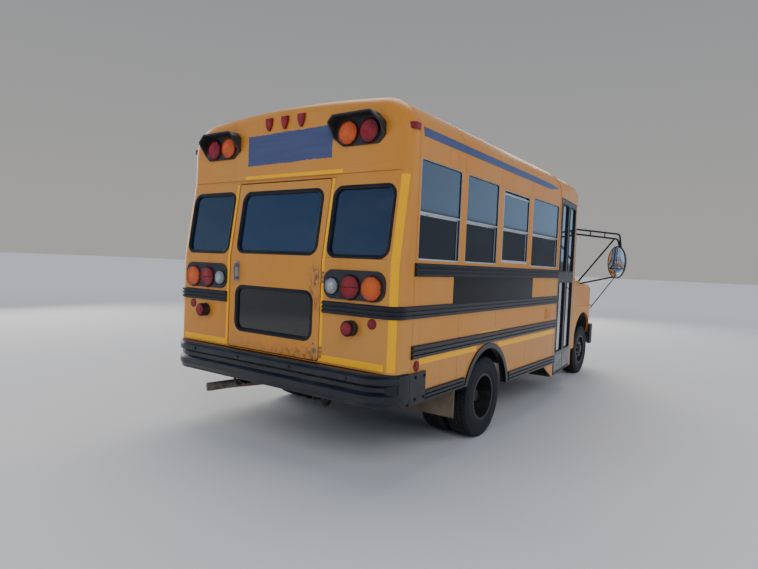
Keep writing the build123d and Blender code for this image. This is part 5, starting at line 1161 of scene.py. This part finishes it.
class BUS_OT_lamps(bpy.types.Operator):
    """Moulds the lenses of every lamp and reflector, their rubbers and bowls"""

    bl_idname = "bus.lamps"
    bl_label = "Lamps"

    def execute(self, context):
        lenses = {"lamp_red": [], "lamp_amber": [], "lamp_clear": []}
        reds, rubbers, bowls = lenses["lamp_red"], [], []
        for side in (1, -1):
            for finish, x, z, radius, depth in TAIL_LAMPS:
                centre = (side * x, REAR_FACE_Y + 0.01, z)
                lenses[finish].append(round_lens(centre, REARWARD, radius, depth))
                rubbers.append(ring_seal(centre, REARWARD, radius + 0.001))
                if finish == "lamp_clear":
                    edge = radius * 0.92
                    profile = [(0.0015, 0.0), (0.0015, radius * 0.5), (0.004, edge), (0.0, edge)]
                    bowls.append(turned("bowl", profile, centre, REARWARD, 40))
                else:
                    rubbers += tail_lamp_trim(finish, centre, radius, depth)
            stop = (side * 0.835, REAR_FACE_Y + 0.06, 1.083)
            flat = (side * HALF_WIDTH, station(1.274), 0.823)
            reds += [round_lens(stop, REARWARD, 0.05, 0.018, 6),
                     round_lens((side * 1.015, REAR_FACE_Y, 1.129), REARWARD, 0.038, 0.008, 4, 0.2),
                     round_lens(flat, (side, 0, 0), 0.038, 0.009, 4, 0.2)]
            rubbers.append(ring_seal(stop, REARWARD, 0.0505, 0.004))
            for y, outwards, centre_x, z in WARNING_LAMPS:
                for finish, shift in (("lamp_amber", -0.098), ("lamp_red", 0.098)):
                    centre, axis = (side * (centre_x + shift), y + outwards * 0.012, z), (0, outwards, 0)
                    lenses[finish].append(round_lens(centre, axis, 0.086, 0.033, 9, 0.55))
                    rubbers.append(ring_seal(centre, axis, 0.0865, 0.005, 0.01))
            outer_x = side * (HALF_WIDTH + 0.011)
            marker = block("marker", (side * (HALF_WIDTH - 0.05), outer_x), (2.9765, 3.0545),
                           (2.519, 2.567), 0.006, 3)
            reds.append(mark_reflector_highlight(marker, (outer_x, 3.015, 2.543), 0.06))
        for finish, z, y, outwards in CLEARANCE_LAMPS:
            lenses[finish] += [shield_lens(place * CLEARANCE_PITCH, z, y, outwards) for place in (-1, 0, 1)]
        for side in (1, -1):
            rubbers.append(loop_frame("headlamp_rim", (0.549, 0.846, 0.854, 1.106), 0.021,
                                      ((0.0, 0.0), (0.0, 0.01), (-0.006, 0.012), (-0.01, 0.0)),
                                      lambda a, b, up: (side * a, CLIP_FRONT_Y + 0.03 - up, b)))
        dress("red_lenses", reds, "lamp_red", replaces=["lamps_red"], angle=40)
        dress("amber_lenses", lenses["lamp_amber"], "lamp_amber", replaces=["lamps_amber"],
              angle=40)
        dress("reverse_lenses", lenses["lamp_clear"], "lamp_clear", angle=40)
        dress("lamp_rubbers", rubbers, "gasket", angle=40)
        dress("reverse_lamp_bowls", bowls, "mirror")
        return {"FINISHED"}


# Tyres and wheels

TYRE_HALF = 0.1115
TYRE_RADIUS = 0.372
RIM_SEAT = 0.208
STEPS_PER_LUG = 4
# Half of the tyre's section from the bead to the shoulder, and the tread's places with 1 in a groove
SIDEWALL = ((-0.062, RIM_SEAT), (-0.094, RIM_SEAT), (-0.1, RIM_SEAT + 0.012), (-0.1085, RIM_SEAT + 0.04),
            (-0.1095, RIM_SEAT + 0.043), (-TYRE_HALF, RIM_SEAT + 0.075), (-0.1108, RIM_SEAT + 0.104),
            (-0.1085, RIM_SEAT + 0.107), (-0.106, RIM_SEAT + 0.128), (-0.103, 0.349), (-0.0985, 0.3585))
TREAD = ((-0.094, 0), (-0.075, 0), (-0.057, 0), (-0.0555, 1), (-0.0495, 1), (-0.048, 0), (-0.033, 0),
         (-0.019, 0), (-0.0175, 1), (-0.0125, 1), (-0.011, 0))


def crown_radius(x):
    """The tread's radius at a place across the tyre."""
    return TYRE_RADIUS - 0.0065 * (abs(x) / 0.094) ** 2.4


def lug_cut(x, r, lug_step, depth):
    """How deep the cross grooves go at a place on the tread."""
    edge = abs(x)
    if 0.017 < edge < 0.05 and lug_step == (2 if x > 0 else 1):
        return depth * 0.45 if r > crown_radius(x) - depth * 0.5 else 0.0
    if 0.0545 < edge < 0.107 and r > 0.346 and lug_step == 0:
        return depth * (0.85 if edge > 0.06 else 0.4)
    return 0.0


def tyre_mesh(centre, side):
    """A road tyre with ribs, cross grooves and a moulded sidewall, as one skin of rings."""
    steps = sizes().tread_lugs * STEPS_PER_LUG
    depth = sizes().groove_depth
    profile = [*SIDEWALL, *((x, crown_radius(x) - depth * lowered) for x, lowered in TREAD)]
    profile += [(-x, r) for x, r in reversed(profile)]
    vertices = []
    cx, cy, cz = centre
    for step in range(steps):
        for x, r in profile:
            low = r - lug_cut(x, r, step % STEPS_PER_LUG, depth)
            angle = 2 * pi * step / steps + 0.018 * x / 0.094
            vertices.append((cx + side * x, cy + low * cos(angle), cz + low * sin(angle)))
    return face_out(mesh_object("tyre", vertices, quads(steps, len(profile), True, True)))


class BUS_OT_tyres(bpy.types.Operator):
    """Moulds the six tyres with their tread"""

    bl_idname = "bus.tyres"
    bl_label = "Tyres"

    def execute(self, context):
        for side, name in ((1, "left"), (-1, "right")):
            for made, y, across, body, covered in (
                    ("front_tyre", FRONT_AXLE_Y, (0.874,), "wheel_front", "tyre_front"),
                    ("rear_tyres", REAR_AXLE_Y, (0.8325, 1.0925), "wheels_rear", "tyres_rear")):
                tyres = [tyre_mesh((side * x, y, AXLE_Z), side) for x in across]
                dress(f"{made}_{name}", tyres, "tyre", f"{body}_{name}", [f"{covered}_{name}"])
        return {"FINISHED"}


NUTS = 8
NUT_CIRCLE = 0.098
NUT_HEIGHT = 0.024
# Wheels: kind, axle, how far out the disc and the hub start, the hub's length, where the rim's lip is,
# the body without its side, and the finish of the nuts
WHEELS = (("front", FRONT_AXLE_Y, 0.94, 0.969, 0.017, 0.9755, "wheel_front", "bright_nut"),
          ("rear", REAR_AXLE_Y, 1.0035, 1.0325, 0.089, 1.194, "wheels_rear", "bolt"))
DISC_STEP = ((0.0, 0.128), (0.004, 0.1275), (0.006, 0.122), (0.003, 0.116), (0.0, 0.1155))
RIM_LIP = ((-0.008, 0.2165), (-0.001, 0.2178), (0.0015, 0.216), (0.0008, 0.209), (-0.004, 0.205),
           (-0.016, 0.201))


def lug_nuts(x, y, side):
    """A ring of nuts with their studs on a wheel's disc."""
    nut = prism(6, 0.0135, NUT_HEIGHT, NUT_HEIGHT / 2, 0.002)
    washer = turned("washer", [(0.0, 0.0165), (0.0035, 0.016), (0.0045, 0.012)], (0, 0, 0), UPWARD, 16)
    stud = turned("stud", [(NUT_HEIGHT, 0.0075), (NUT_HEIGHT + 0.008, 0.0072), (NUT_HEIGHT + 0.009, 0.0)],
                  (0, 0, 0), UPWARD, 12)
    angles = [2 * pi * (index + 0.5) / NUTS for index in range(NUTS)]
    places = [at((x, y + NUT_CIRCLE * cos(angle), AXLE_Z + NUT_CIRCLE * sin(angle)), (side, 0, 0))
              for angle in angles]
    return copies(join("nut", [nut, washer, stud]), places)


class BUS_OT_wheels(bpy.types.Operator):
    """Adds the nuts, hub caps, rim lips and valves of the wheels"""

    bl_idname = "bus.wheels"
    bl_label = "Wheel details"

    def execute(self, context):
        for side, name in ((1, "left"), (-1, "right")):
            axis = (side, 0, 0)
            for kind, y, disc_x, hub_x, hub_out, lip_x, body, nut_finish in WHEELS:
                body = f"{body}_{name}"
                nuts = lug_nuts(side * disc_x, y, side)
                dress(f"{kind}_nuts_{name}", [nuts], nut_finish, body)
                profile = [(0.0, 0.0752), (0.003, 0.0745), (0.006, 0.066), (0.008, 0.053),
                           (hub_out * 0.75, 0.0525), (hub_out - 0.006, 0.0505), (hub_out, 0.042),
                           (hub_out + 0.0005, 0.0)]
                hub = turned("hub_flange", profile, (side * hub_x, y, AXLE_Z), axis)
                ring = turned("disc_step", DISC_STEP, (side * disc_x, y, AXLE_Z), axis, 64)
                valve = rod("valve", [(side * (disc_x - 0.002), y + 0.165, AXLE_Z + 0.02),
                                      (side * (disc_x + 0.03), y + 0.172, AXLE_Z + 0.021)], 0.004)
                dress(f"{kind}_hub_{name}", [hub, ring, valve], "rim_paint", body)
                lip = turned("rim_lip", RIM_LIP, (side * lip_x, y, AXLE_Z), axis, 72)
                modify(lip, "SOLIDIFY", thickness=0.0012, offset=-1.0)
                dress(f"{kind}_rim_lip_{name}", [lip], "rim_edge", body)
        return {"FINISHED"}


# Seats

CUSHION = ((-0.45, -0.185, -0.055), (0.45, 0.185, 0.055))
BACK = ((-0.45, -0.036, -0.31), (0.45, 0.036, 0.31))
BENCH_ROWS = 4
BENCH_PITCH = 0.76
BENCH_X = 0.704
REAR_BENCH_Y = 1.33
DRIVER_PAD = ((-0.25, -0.23, -0.06), (0.25, 0.23, 0.06))
DRIVER_REST = ((-0.235, -0.055, -0.32), (0.235, 0.055, 0.32))
DRIVER_PAD_PLACE = (0.46, -1.2965, 0.94)
DRIVER_REST_PLACE = (0.46, -1.0415, 1.321)
REST_LEAN = radians(-10)
CLOTH_FRAMES = 20


def stuffed(name, low, high, voxel=0.014, pressure=4.0, lean=0.0):
    """A foam pad under tight vinyl: a rounded block, blown up a little by cloth simulation."""
    swell = sizes().cushion_swell
    inset = swell * 0.5
    made = block(name, *((a + inset, b - inset) for a, b in zip(low, high)), 0.02, 4)
    modify(made, "REMESH", mode="VOXEL", voxel_size=voxel)
    base = [vertex.co.copy() for vertex in made.data.vertices]
    activate(made)
    cloth = made.modifiers.new("cloth", "CLOTH")
    cloth.settings.quality = 5
    cloth.settings.use_pressure = True
    cloth.settings.uniform_pressure_force = pressure
    cloth.settings.effector_weights.gravity = 0.0
    cloth.collision_settings.use_collision = False
    cloth.point_cache.frame_end = CLOTH_FRAMES
    for step in range(1, CLOTH_FRAMES + 1):
        bpy.context.scene.frame_set(step)
    bpy.ops.object.modifier_apply(modifier=cloth.name)
    bpy.context.scene.frame_set(1)
    for vertex, start in zip(made.data.vertices, base):
        away = vertex.co - start
        if away.length > swell:
            vertex.co = start + away * (swell / away.length)
    made.data.transform(Matrix.Rotation(lean, 4, "X"))
    return made


def moved(piece, place):
    piece.data.transform(Matrix.Translation(place))
    return piece


def welt(low, high, level, radius=0.0035, upright=False, lean=0.0):
    """A piped seam round the top of a cushion, or round the face of an upright pad."""
    across, corner = (2 if upright else 1), 0.03
    points = []
    for a, b, out_a, out_b in rounded_loop(low[0], high[0], low[across], high[across], corner, 5):
        a, b = a + corner * out_a, b + corner * out_b
        points.append((a, level, b) if upright else (a, b, level))
    made = rod("seam", [*points, points[0]], radius, rounds=0)
    made.data.transform(Matrix.Rotation(lean, 4, "X"))
    return made


class BUS_OT_seats(bpy.types.Operator):
    """Stuffs and pipes the bench pads and the driver's seat"""

    bl_idname = "bus.seats"
    bl_label = "Seats"

    def execute(self, context):
        cushion, back = stuffed("cushion", *CUSHION), stuffed("back", *BACK)
        seam = welt(*CUSHION, 0.046)
        back_seam = join("back_seam", [welt(*BACK, y, upright=True) for y in (-0.028, 0.028)])
        pads, seams = [], []
        for row in range(BENCH_ROWS):
            back_y = station(REAR_BENCH_Y) - row * BENCH_PITCH
            for side in (1, -1):
                for pattern, line, place in ((cushion, seam, (side * BENCH_X, back_y - 0.195, 1.185)),
                                             (back, back_seam, (side * BENCH_X, back_y + 0.026, 1.44))):
                    pads.append(moved(link("pad", pattern.data.copy()), place))
                    seams.append(moved(link("seam", line.data.copy()), place))
        for used in (cushion, back, seam, back_seam):
            bpy.data.objects.remove(used)
        benches = dress("bench_cushions", pads, "vinyl", replaces=["bench_pads"], angle=60)
        dress("bench_piping", seams, "piping")
        pad = moved(stuffed("pad", *DRIVER_PAD, 0.009, 5.0), DRIVER_PAD_PLACE)
        rest = moved(stuffed("rest", *DRIVER_REST, 0.009, 5.0, REST_LEAN), DRIVER_REST_PLACE)
        lines = [moved(welt(*DRIVER_PAD, 0.05, 0.004), DRIVER_PAD_PLACE),
                 moved(welt(*DRIVER_REST, -0.046, 0.004, True, REST_LEAN), DRIVER_REST_PLACE)]
        chair = dress("driver_cushions", [pad, rest], "cloth_grey", replaces=["driver_seat"],
                      angle=60)
        dress("driver_piping", lines, "piping")
        return {"FINISHED"}


# Entrance, mirrors and front

LEAVES = (("entrance_leaf_rear", -0.8235, -0.3845), ("entrance_leaf_front", -1.2685, -0.8295))
LEAF_WINDOWS = ((0.56, 1.43), (1.56, 2.39))


def on_entrance(y, z, up):
    return (-(entrance_x(y) + up), y, z)


def entrance_strip(name, y, z, proud):
    """A flat strip on the tapering side by the entrance."""
    return sheet(name, [[on_entrance(along, height, proud / 2) for height in z] for along in y], proud)


class BUS_OT_entrance(bpy.types.Operator):
    """Trims the entrance leaves with their window rubbers, edge strips, seals and kick panels"""

    bl_idname = "bus.entrance"
    bl_label = "Entrance doors"

    def execute(self, context):
        for body, y_low, y_high in LEAVES:
            rubbers = [loop_frame("glazing", (y_low + 0.055, y_high - 0.055, *levels), 0.03,
                                  GLAZING_SECTION, on_entrance) for levels in LEAF_WINDOWS]
            seal_y = y_low - 0.002 if body == "entrance_leaf_rear" else y_high + 0.002
            x = -(entrance_x(seal_y) - 0.014)
            foot = ((y_low + 0.01, y_high - 0.01), (0.2915, 0.318))
            rubbers += [rod("nose_seal", [(x, seal_y, 0.3), (x, seal_y, 2.44)], 0.0035),
                        entrance_strip("foot_brush", *foot, 0.004)]
            dress(f"{body}_rubbers", rubbers, "gasket", body)
            strips = [entrance_strip("strip", y, z, 0.0018) for y, z in (
                ((y_low + 0.002, y_low + 0.012), (0.33, 2.43)),
                ((y_high - 0.012, y_high - 0.002), (0.33, 2.43)),
                ((y_low + 0.022, y_high - 0.022), (0.332, 0.52)))]
            dress(f"{body}_edges", strips, "worn_aluminium", body)
        trims = [entrance_strip("post_trim", (-0.3735, -0.3605), (0.3, 1.466), 0.002),
                 entrance_strip("front_post_trim", (-1.36, -1.35), (0.3, 2.05), 0.002),
                 rod("grab_rail", [(-0.845, -0.42, 0.98), (-0.845, -0.44, 1.35), (-0.85, -0.5, 1.6),
                                   (-0.85, -0.52, 1.72)], 0.014, 12)]
        dress("entrance_trim", trims, "worn_aluminium")
        return {"FINISHED"}


MIRROR_X, MIRROR_Y, MIRROR_Z = 1.52, -2.0345, 1.7275


def mirror_pane(name, side, z_low, z_high, bulge):
    """A domed glass that fills a band of the mirror head's oval."""
    rows = []
    for step in range(13):
        z = z_low + (z_high - z_low) * step / 12
        half = 0.108 * sqrt(max(0.0, 1 - ((z - MIRROR_Z) / 0.2185) ** 2))
        v = 2 * step / 12 - 1
        row = []
        for index in range(13):
            u = 2 * index / 12 - 1
            row.append((side * MIRROR_X + u * half, MIRROR_Y + bulge * (1 - u * u) * (1 - v * v), z))
        rows.append(row)
    return sheet(name, rows, 0.0024)


class BUS_OT_mirrors(bpy.types.Operator):
    """Makes the flat and the domed glass of the mirrors, and their rims"""

    bl_idname = "bus.mirrors"
    bl_label = "Mirrors"

    def execute(self, context):
        panes, rims = [], []
        angles = [2 * pi * index / 48 for index in range(49)]
        for side in (1, -1):
            x = side * MIRROR_X
            panes += [mirror_pane("flat_glass", side, 1.64, 1.9445, 0.006),
                      mirror_pane("domed_glass", side, 1.5105, 1.63, 0.018)]
            rim = [(x + 0.113 * cos(angle), MIRROR_Y - 0.005, MIRROR_Z + 0.2235 * sin(angle))
                   for angle in angles]
            rims += [rod("rim", rim, 0.0065, rounds=0),
                     block("divider", (x - 0.098, x + 0.098), (-2.04, -2.031), (1.6305, 1.6395))]
        dress("mirror_panes", panes, "mirror", replaces=["mirror_glass"], angle=50)
        dress("mirror_rims", rims, "black_plastic")
        return {"FINISHED"}


HEADLAMP_Z = 0.98
HEADLAMP_LOW, HEADLAMP_HIGH = 0.853, 1.107
LINER_Z = 0.48
LINER_RADIUS = 0.474
CORE_FINS = 30
# Where the two wipers' arms stand across the bus
WIPERS = (0.62, -0.16)
SCREEN_LOOP = ((-0.925, 1.402), (0.925, 1.402), (0.815, 2.038), (-0.815, 2.038), (-0.925, 1.402))
BOWL = ((0.006, 1.0), (0.0, 0.98), (-0.03, 0.8), (-0.06, 0.3), (-0.062, 0.0))
BULB = ((0.0, 0.012), (0.016, 0.012), (0.02, 0.008), (0.022, 0.0))
PIVOT = ((0.0, 0.02), (0.018, 0.017), (0.024, 0.01), (0.025, 0.0))


def screen_point(x, z, up):
    """A point on the windshield's outer face."""
    share = (z - 1.4) / 0.64
    return (x, -1.9725 + 0.57 * share - up, z)


def fluted_lens(side):
    """The headlamp's clear cover, with upright flutes over a low bulge."""
    rows = []
    for step in range(5):
        z = HEADLAMP_LOW + (HEADLAMP_HIGH - HEADLAMP_LOW) * step / 4
        y = CLIP_FRONT_Y + 0.0175 - 0.004 * (1 - (step / 2 - 1) ** 2)
        rows.append([(side * (0.548 + 0.297 * index / 96), y - 0.0016 * sin(index * pi / 3), z)
                     for index in range(97)])
    return sheet("headlamp_lens", rows, 0.003)


def wheel_liner(side):
    """A liner in the front arch, so that no daylight shows over the tyre."""
    angles = [radians(25 + 143 * step / 24) for step in range(25)]
    rows = [[(side * x, FRONT_AXLE_Y + LINER_RADIUS * cos(angle), LINER_Z + LINER_RADIUS * sin(angle))
             for angle in angles] for x in (0.5, 0.975)]
    return sheet("liner", rows, 0.004)


class BUS_OT_front(bpy.types.Operator):
    """Adds the wipers, headlamps, turn lamps, wheel liners, radiator core and handle of the van's front"""

    bl_idname = "bus.front"
    bl_label = "Van front"

    def execute(self, context):
        lenses, bowls, trims, ambers = [], [], [], []
        for side, base_x in zip((1, -1), WIPERS):
            lenses.append(fluted_lens(side))
            for x, radius in ((0.64, 0.083), (0.79, 0.045)):
                profile = [(along, share * radius) for along, share in BOWL]
                bowls += [turned("bowl", profile, (side * x, CLIP_FRONT_Y + 0.026, HEADLAMP_Z), FORWARD, 40),
                          turned("bulb", BULB, (side * x, CLIP_FRONT_Y + 0.06, HEADLAMP_Z), FORWARD, 20)]
            ambers.append(block("turn_lamp", (side * 0.575, side * 0.735),
                                (CLIP_FRONT_Y - 0.004, CLIP_FRONT_Y + 0.03), (0.8, 0.834), 0.004, 3))
            trims += [rod("wiper_arm", [(base_x, -2.0, 1.412), screen_point(base_x - 0.06, 1.46, 0.024),
                                        screen_point(base_x - 0.22, 1.6, 0.02)], 0.0055),
                      rod("wiper_blade", [screen_point(base_x + 0.02, 1.47, 0.012),
                                          screen_point(base_x - 0.23, 1.62, 0.013),
                                          screen_point(base_x - 0.4, 1.735, 0.012)], 0.006),
                      turned("wiper_pivot", PIVOT, (base_x, -2.003, 1.396), (0, -0.3, 1), 20)]
        loop = [screen_point(x, z, 0.003) for x, z in SCREEN_LOOP]
        trims.append(rod("screen_rubber", loop, 0.01, rounds=0))
        recess = block("handle_recess", (0.9985, 1.0025), (-1.15, -1.03), (1.285, 1.335), 0.001)
        handle = block("door_handle", (1.002, 1.02), (-1.145, -1.04), (1.3, 1.322), 0.005, 3)
        dress("headlamp_lenses", lenses, "headlamp", replaces=["lamps_clear"])
        dress("headlamp_bowls", bowls, "mirror")
        dress("turn_lamps", ambers, "lamp_amber")
        dress("wheel_liners", [wheel_liner(side) for side in (1, -1)], "black_plastic")
        fins = [block("core", (-0.535, 0.535), (-3.04, -3.028), (0.815, 1.125))]
        for row in range(CORE_FINS):
            z = 0.82 + row * 0.0102
            fins.append(block("fin", (-0.53, 0.53), (-3.0435, -3.0395), (z, z + 0.004), 0.0))
        dress("radiator_core", fins, "chassis_black")
        dress("front_trims", trims, "black_plastic")
        dress("door_handle", [handle], "black_plastic", "driver_door")
        dress("handle_recess", [recess], "outer_paint", "driver_door")
        return {"FINISHED"}


# The bumper's rear face and its ends, the middle of the stop sign, and the louvres of the front quarter
BUMPER_Y, BUMPER_X = 3.262, 1.2405
STOP_CENTRE_Y, STOP_CENTRE_Z = 0.5415, 1.372
LOUVRES, LOUVRE_LOW, LOUVRE_PITCH = 7, 1.01, 0.0175


class BUS_OT_trim(bpy.types.Operator):
    """Adds the roof bow, louvres, creases, bumper bolts and stop arm border"""

    bl_idname = "bus.trim"
    bl_label = "Body trim"

    def execute(self, context):
        bow = sheet("bow", [[(x, y, z) for y in (BOW_Y + 0.004, BOW_Y + 0.012, BOW_Y + 0.03)]
                            for x, z in roof_outline(0.0022)], 0.0045)
        plates, creases, places = [], [], []
        for side in (1, -1):
            plates.append(side_plate("bow_side", side, (BOW_Y + 0.004, BOW_Y + 0.03),
                                     (1.58, SHOULDER_Z), 0.0045))
            for row in range(LOUVRES):
                z = LOUVRE_LOW + row * LOUVRE_PITCH
                plates.append(side_plate("louvre", side, stations(-1.8, -1.56), (z, z + 0.0085), 0.0055))
            rows = [[(side * (1.0002 + 0.0045 * sin(pi * k / 6)), y, 1.03 + 0.005 * k) for k in range(7)]
                    for y in (-2.86, -2.6, -2.3, -2.0)]
            creases.append(sheet("fender_crease", rows, 0.0015))
            places += [at((side * x, BUMPER_Y, 0.733), REARWARD) for x in (0.3, 0.86)]
            places += [at((side * BUMPER_X, station(y), z), (side, 0, 0))
                       for y in (1.18, 1.3) for z in (0.745, 0.585)]
        for piece in plates:
            bevelled(piece, 0.0018)
        dress("body_trim", [bow, *plates, *creases], "outer_paint")
        dress("bumper_bolts", [copies(hex_bolt(), places)], "bumper_paint")
        angles = [radians(22.5 + 45 * k) for k in range(9)]
        rims = []
        for x in (1.2535, 1.2725):
            rows = [[(x, STOP_CENTRE_Y + radius * cos(angle), STOP_CENTRE_Z + radius * sin(angle))
                     for angle in angles] for radius in (0.232, 0.214)]
            rims.append(sheet("border", rows, 0.0008))
        dress("stop_border", rims, "white_film", "stop_arm")
        return {"FINISHED"}


# Stage

# Soft lights: name, place, target, size, power, colour, and whether they show in reflections
LIGHTS = (("key", (-7.0, 9.0, 7.5), (0, 1.5, 1.2), 6.0, 430, (1.0, 0.97, 0.93), False),
          ("side", (-10.0, -3.0, 5.0), (-1.0, 0, 1.2), 7.0, 380, (1.0, 0.98, 0.95), False),
          ("back", (5.0, 11.0, 5.0), (0.5, 3.0, 1.2), 5.0, 260, (1.0, 0.98, 0.96), False),
          ("front", (4.0, -11.0, 5.0), (0, -3.0, 1.0), 6.0, 480, (1.0, 0.98, 0.95), True),
          ("left", (11.0, 1.0, 5.0), (1.0, 0, 1.0), 7.0, 420, (1.0, 0.98, 0.95), True))
SUN_DIRECTION = (-3.0, 4.0, -9.0)
SUN_COLOUR = (1.0, 0.965, 0.91)
# The photograph's camera, fitted to the bus
CAMERA_PLACE = (-3.279, 6.3345, 1.56)
CAMERA_YAW, CAMERA_PITCH, CAMERA_ROLL = radians(35.1), radians(-2.16), radians(2.48)
CAMERA_LENS = 26.1


def studio_world():
    """A plain pale backdrop for the camera, and a blue sky over a dark skyline for the reflections."""
    world = bpy.data.worlds.new("studio")
    world.use_nodes = True
    n = Nodes(world.node_tree, "Generated")
    x, y, z = n.places()
    plain = n.blend(n.spread(z, 0.0, 0.6), (0.98, 0.96, 0.93), (0.72, 0.75, 0.8))
    blue = n.blend(n.spread(z, 0.03, 0.55), (0.86, 1.26, 1.86), (0.2, 0.4, 0.84))
    sector = n.times(n.inside(x, -0.66, -0.1, 0.08), n.spread(y, 0.0, -0.1))
    skyline = n.less(z, n.times(n.times(x, -0.19), sector))
    dim = n.blend(n.spread(z, -0.02, 0.0), (0.75, 0.74, 0.72), (0.19, 0.205, 0.24))
    outdoors = n.blend(n.spread(skyline, -0.001, 0.006), dim, blue)
    turned_away = n.most(n.spread(y, -0.06, 0.04), n.spread(x, -0.02, -0.14))
    seen = n.add("ShaderNodeLightPath").outputs["Is Camera Ray"]
    sky = n.tree.nodes["Background"].inputs
    n.feed(sky["Color"], n.blend(seen, n.blend(turned_away, plain, outdoors), plain))
    n.feed(sky["Strength"], 0.42)
    return world


def studio_floor():
    """A wide pale floor that turns to the backdrop's colour away from the bus."""
    clear_selection()
    bpy.ops.mesh.primitive_plane_add(size=400, location=(0, 0, 0))
    floor = bpy.context.object
    floor.name = "studio_floor"
    n = Finish("studio_floor", FLOOR_COLOUR, 0.8, Specular_IOR_Level=0.1)
    x, y, _ = n.places()
    far = n.spread(n.distance(x, y), 4.0, 24.0)
    floor.data.materials.append(n.surface(Base_Color=n.blend(far, FLOOR_COLOUR, (0.9, 0.86, 0.79))))
    return floor


def aim(holder, direction):
    holder.rotation_euler = Vector(direction).to_track_quat("-Z", "Y").to_euler()


def photo_camera():
    camera = bpy.data.cameras.new("camera")
    camera.sensor_width = 36.0
    camera.lens = CAMERA_LENS
    camera.clip_end = 200
    level = cos(CAMERA_PITCH)
    ahead = Vector((sin(CAMERA_YAW) * level, -cos(CAMERA_YAW) * level, sin(CAMERA_PITCH)))
    right = ahead.cross(Vector(UPWARD)).normalized()
    up = right.cross(ahead)
    across = cos(CAMERA_ROLL) * right + sin(CAMERA_ROLL) * up
    upward = -sin(CAMERA_ROLL) * right + cos(CAMERA_ROLL) * up
    holder = link("camera", camera)
    turn = Matrix((across, upward, -ahead)).transposed().to_4x4()
    holder.matrix_world = Matrix.Translation(CAMERA_PLACE) @ turn
    return holder


class BUS_OT_stage(bpy.types.Operator):
    """Sets the floor, the soft lights and the camera of the photograph"""

    bl_idname = "bus.stage"
    bl_label = "Stage"

    def execute(self, context):
        floor = studio_floor()
        context.scene.world = studio_world()
        sun = bpy.data.lights.new("soft_sun", "SUN")
        sun.energy, sun.angle, sun.color = 1.55, radians(50), SUN_COLOUR
        aim(link("soft_sun", sun), SUN_DIRECTION)
        for name, place, target, size, power, colour, shines in LIGHTS:
            lamp = bpy.data.lights.new(name, "AREA")
            lamp.size, lamp.energy, lamp.color = size, power, colour
            holder = link(name, lamp)
            holder.visible_glossy = shines
            holder.location = place
            aim(holder, Vector(target) - Vector(place))
        context.scene.camera = photo_camera()
        return {"FINISHED"}


STEPS = (BUS_OT_finishes, BUS_OT_tape, BUS_OT_stripe, BUS_OT_seams, BUS_OT_rear_windows, BUS_OT_rear_door,
         BUS_OT_side_windows, BUS_OT_lamps, BUS_OT_tyres, BUS_OT_wheels, BUS_OT_seats, BUS_OT_entrance,
         BUS_OT_mirrors, BUS_OT_front, BUS_OT_trim, BUS_OT_stage)


class BUS_PT_panel(bpy.types.Panel):
    """Lists the pieces of the bus and the stage"""

    bl_idname = "BUS_PT_panel"
    bl_label = "School Bus"
    bl_space_type = "VIEW_3D"
    bl_region_type = "UI"
    bl_category = "School Bus"

    def draw(self, context):
        for step in STEPS:
            self.layout.operator(step.bl_idname)


CLASSES = (BusColours, BusSizes, *STEPS, BUS_PT_panel)


def register():
    for each in CLASSES:
        bpy.utils.register_class(each)
    bpy.types.Scene.bus_colours = PointerProperty(type=BusColours)
    bpy.types.Scene.bus_sizes = PointerProperty(type=BusSizes)


def unregister():
    del bpy.types.Scene.bus_sizes
    del bpy.types.Scene.bus_colours
    for each in reversed(CLASSES):
        bpy.utils.unregister_class(each)


def main():
    register()
    for step in STEPS:
        group, name = step.bl_idname.split(".")
        getattr(getattr(bpy.ops, group), name)()


if __name__ == "__main__":
    main()
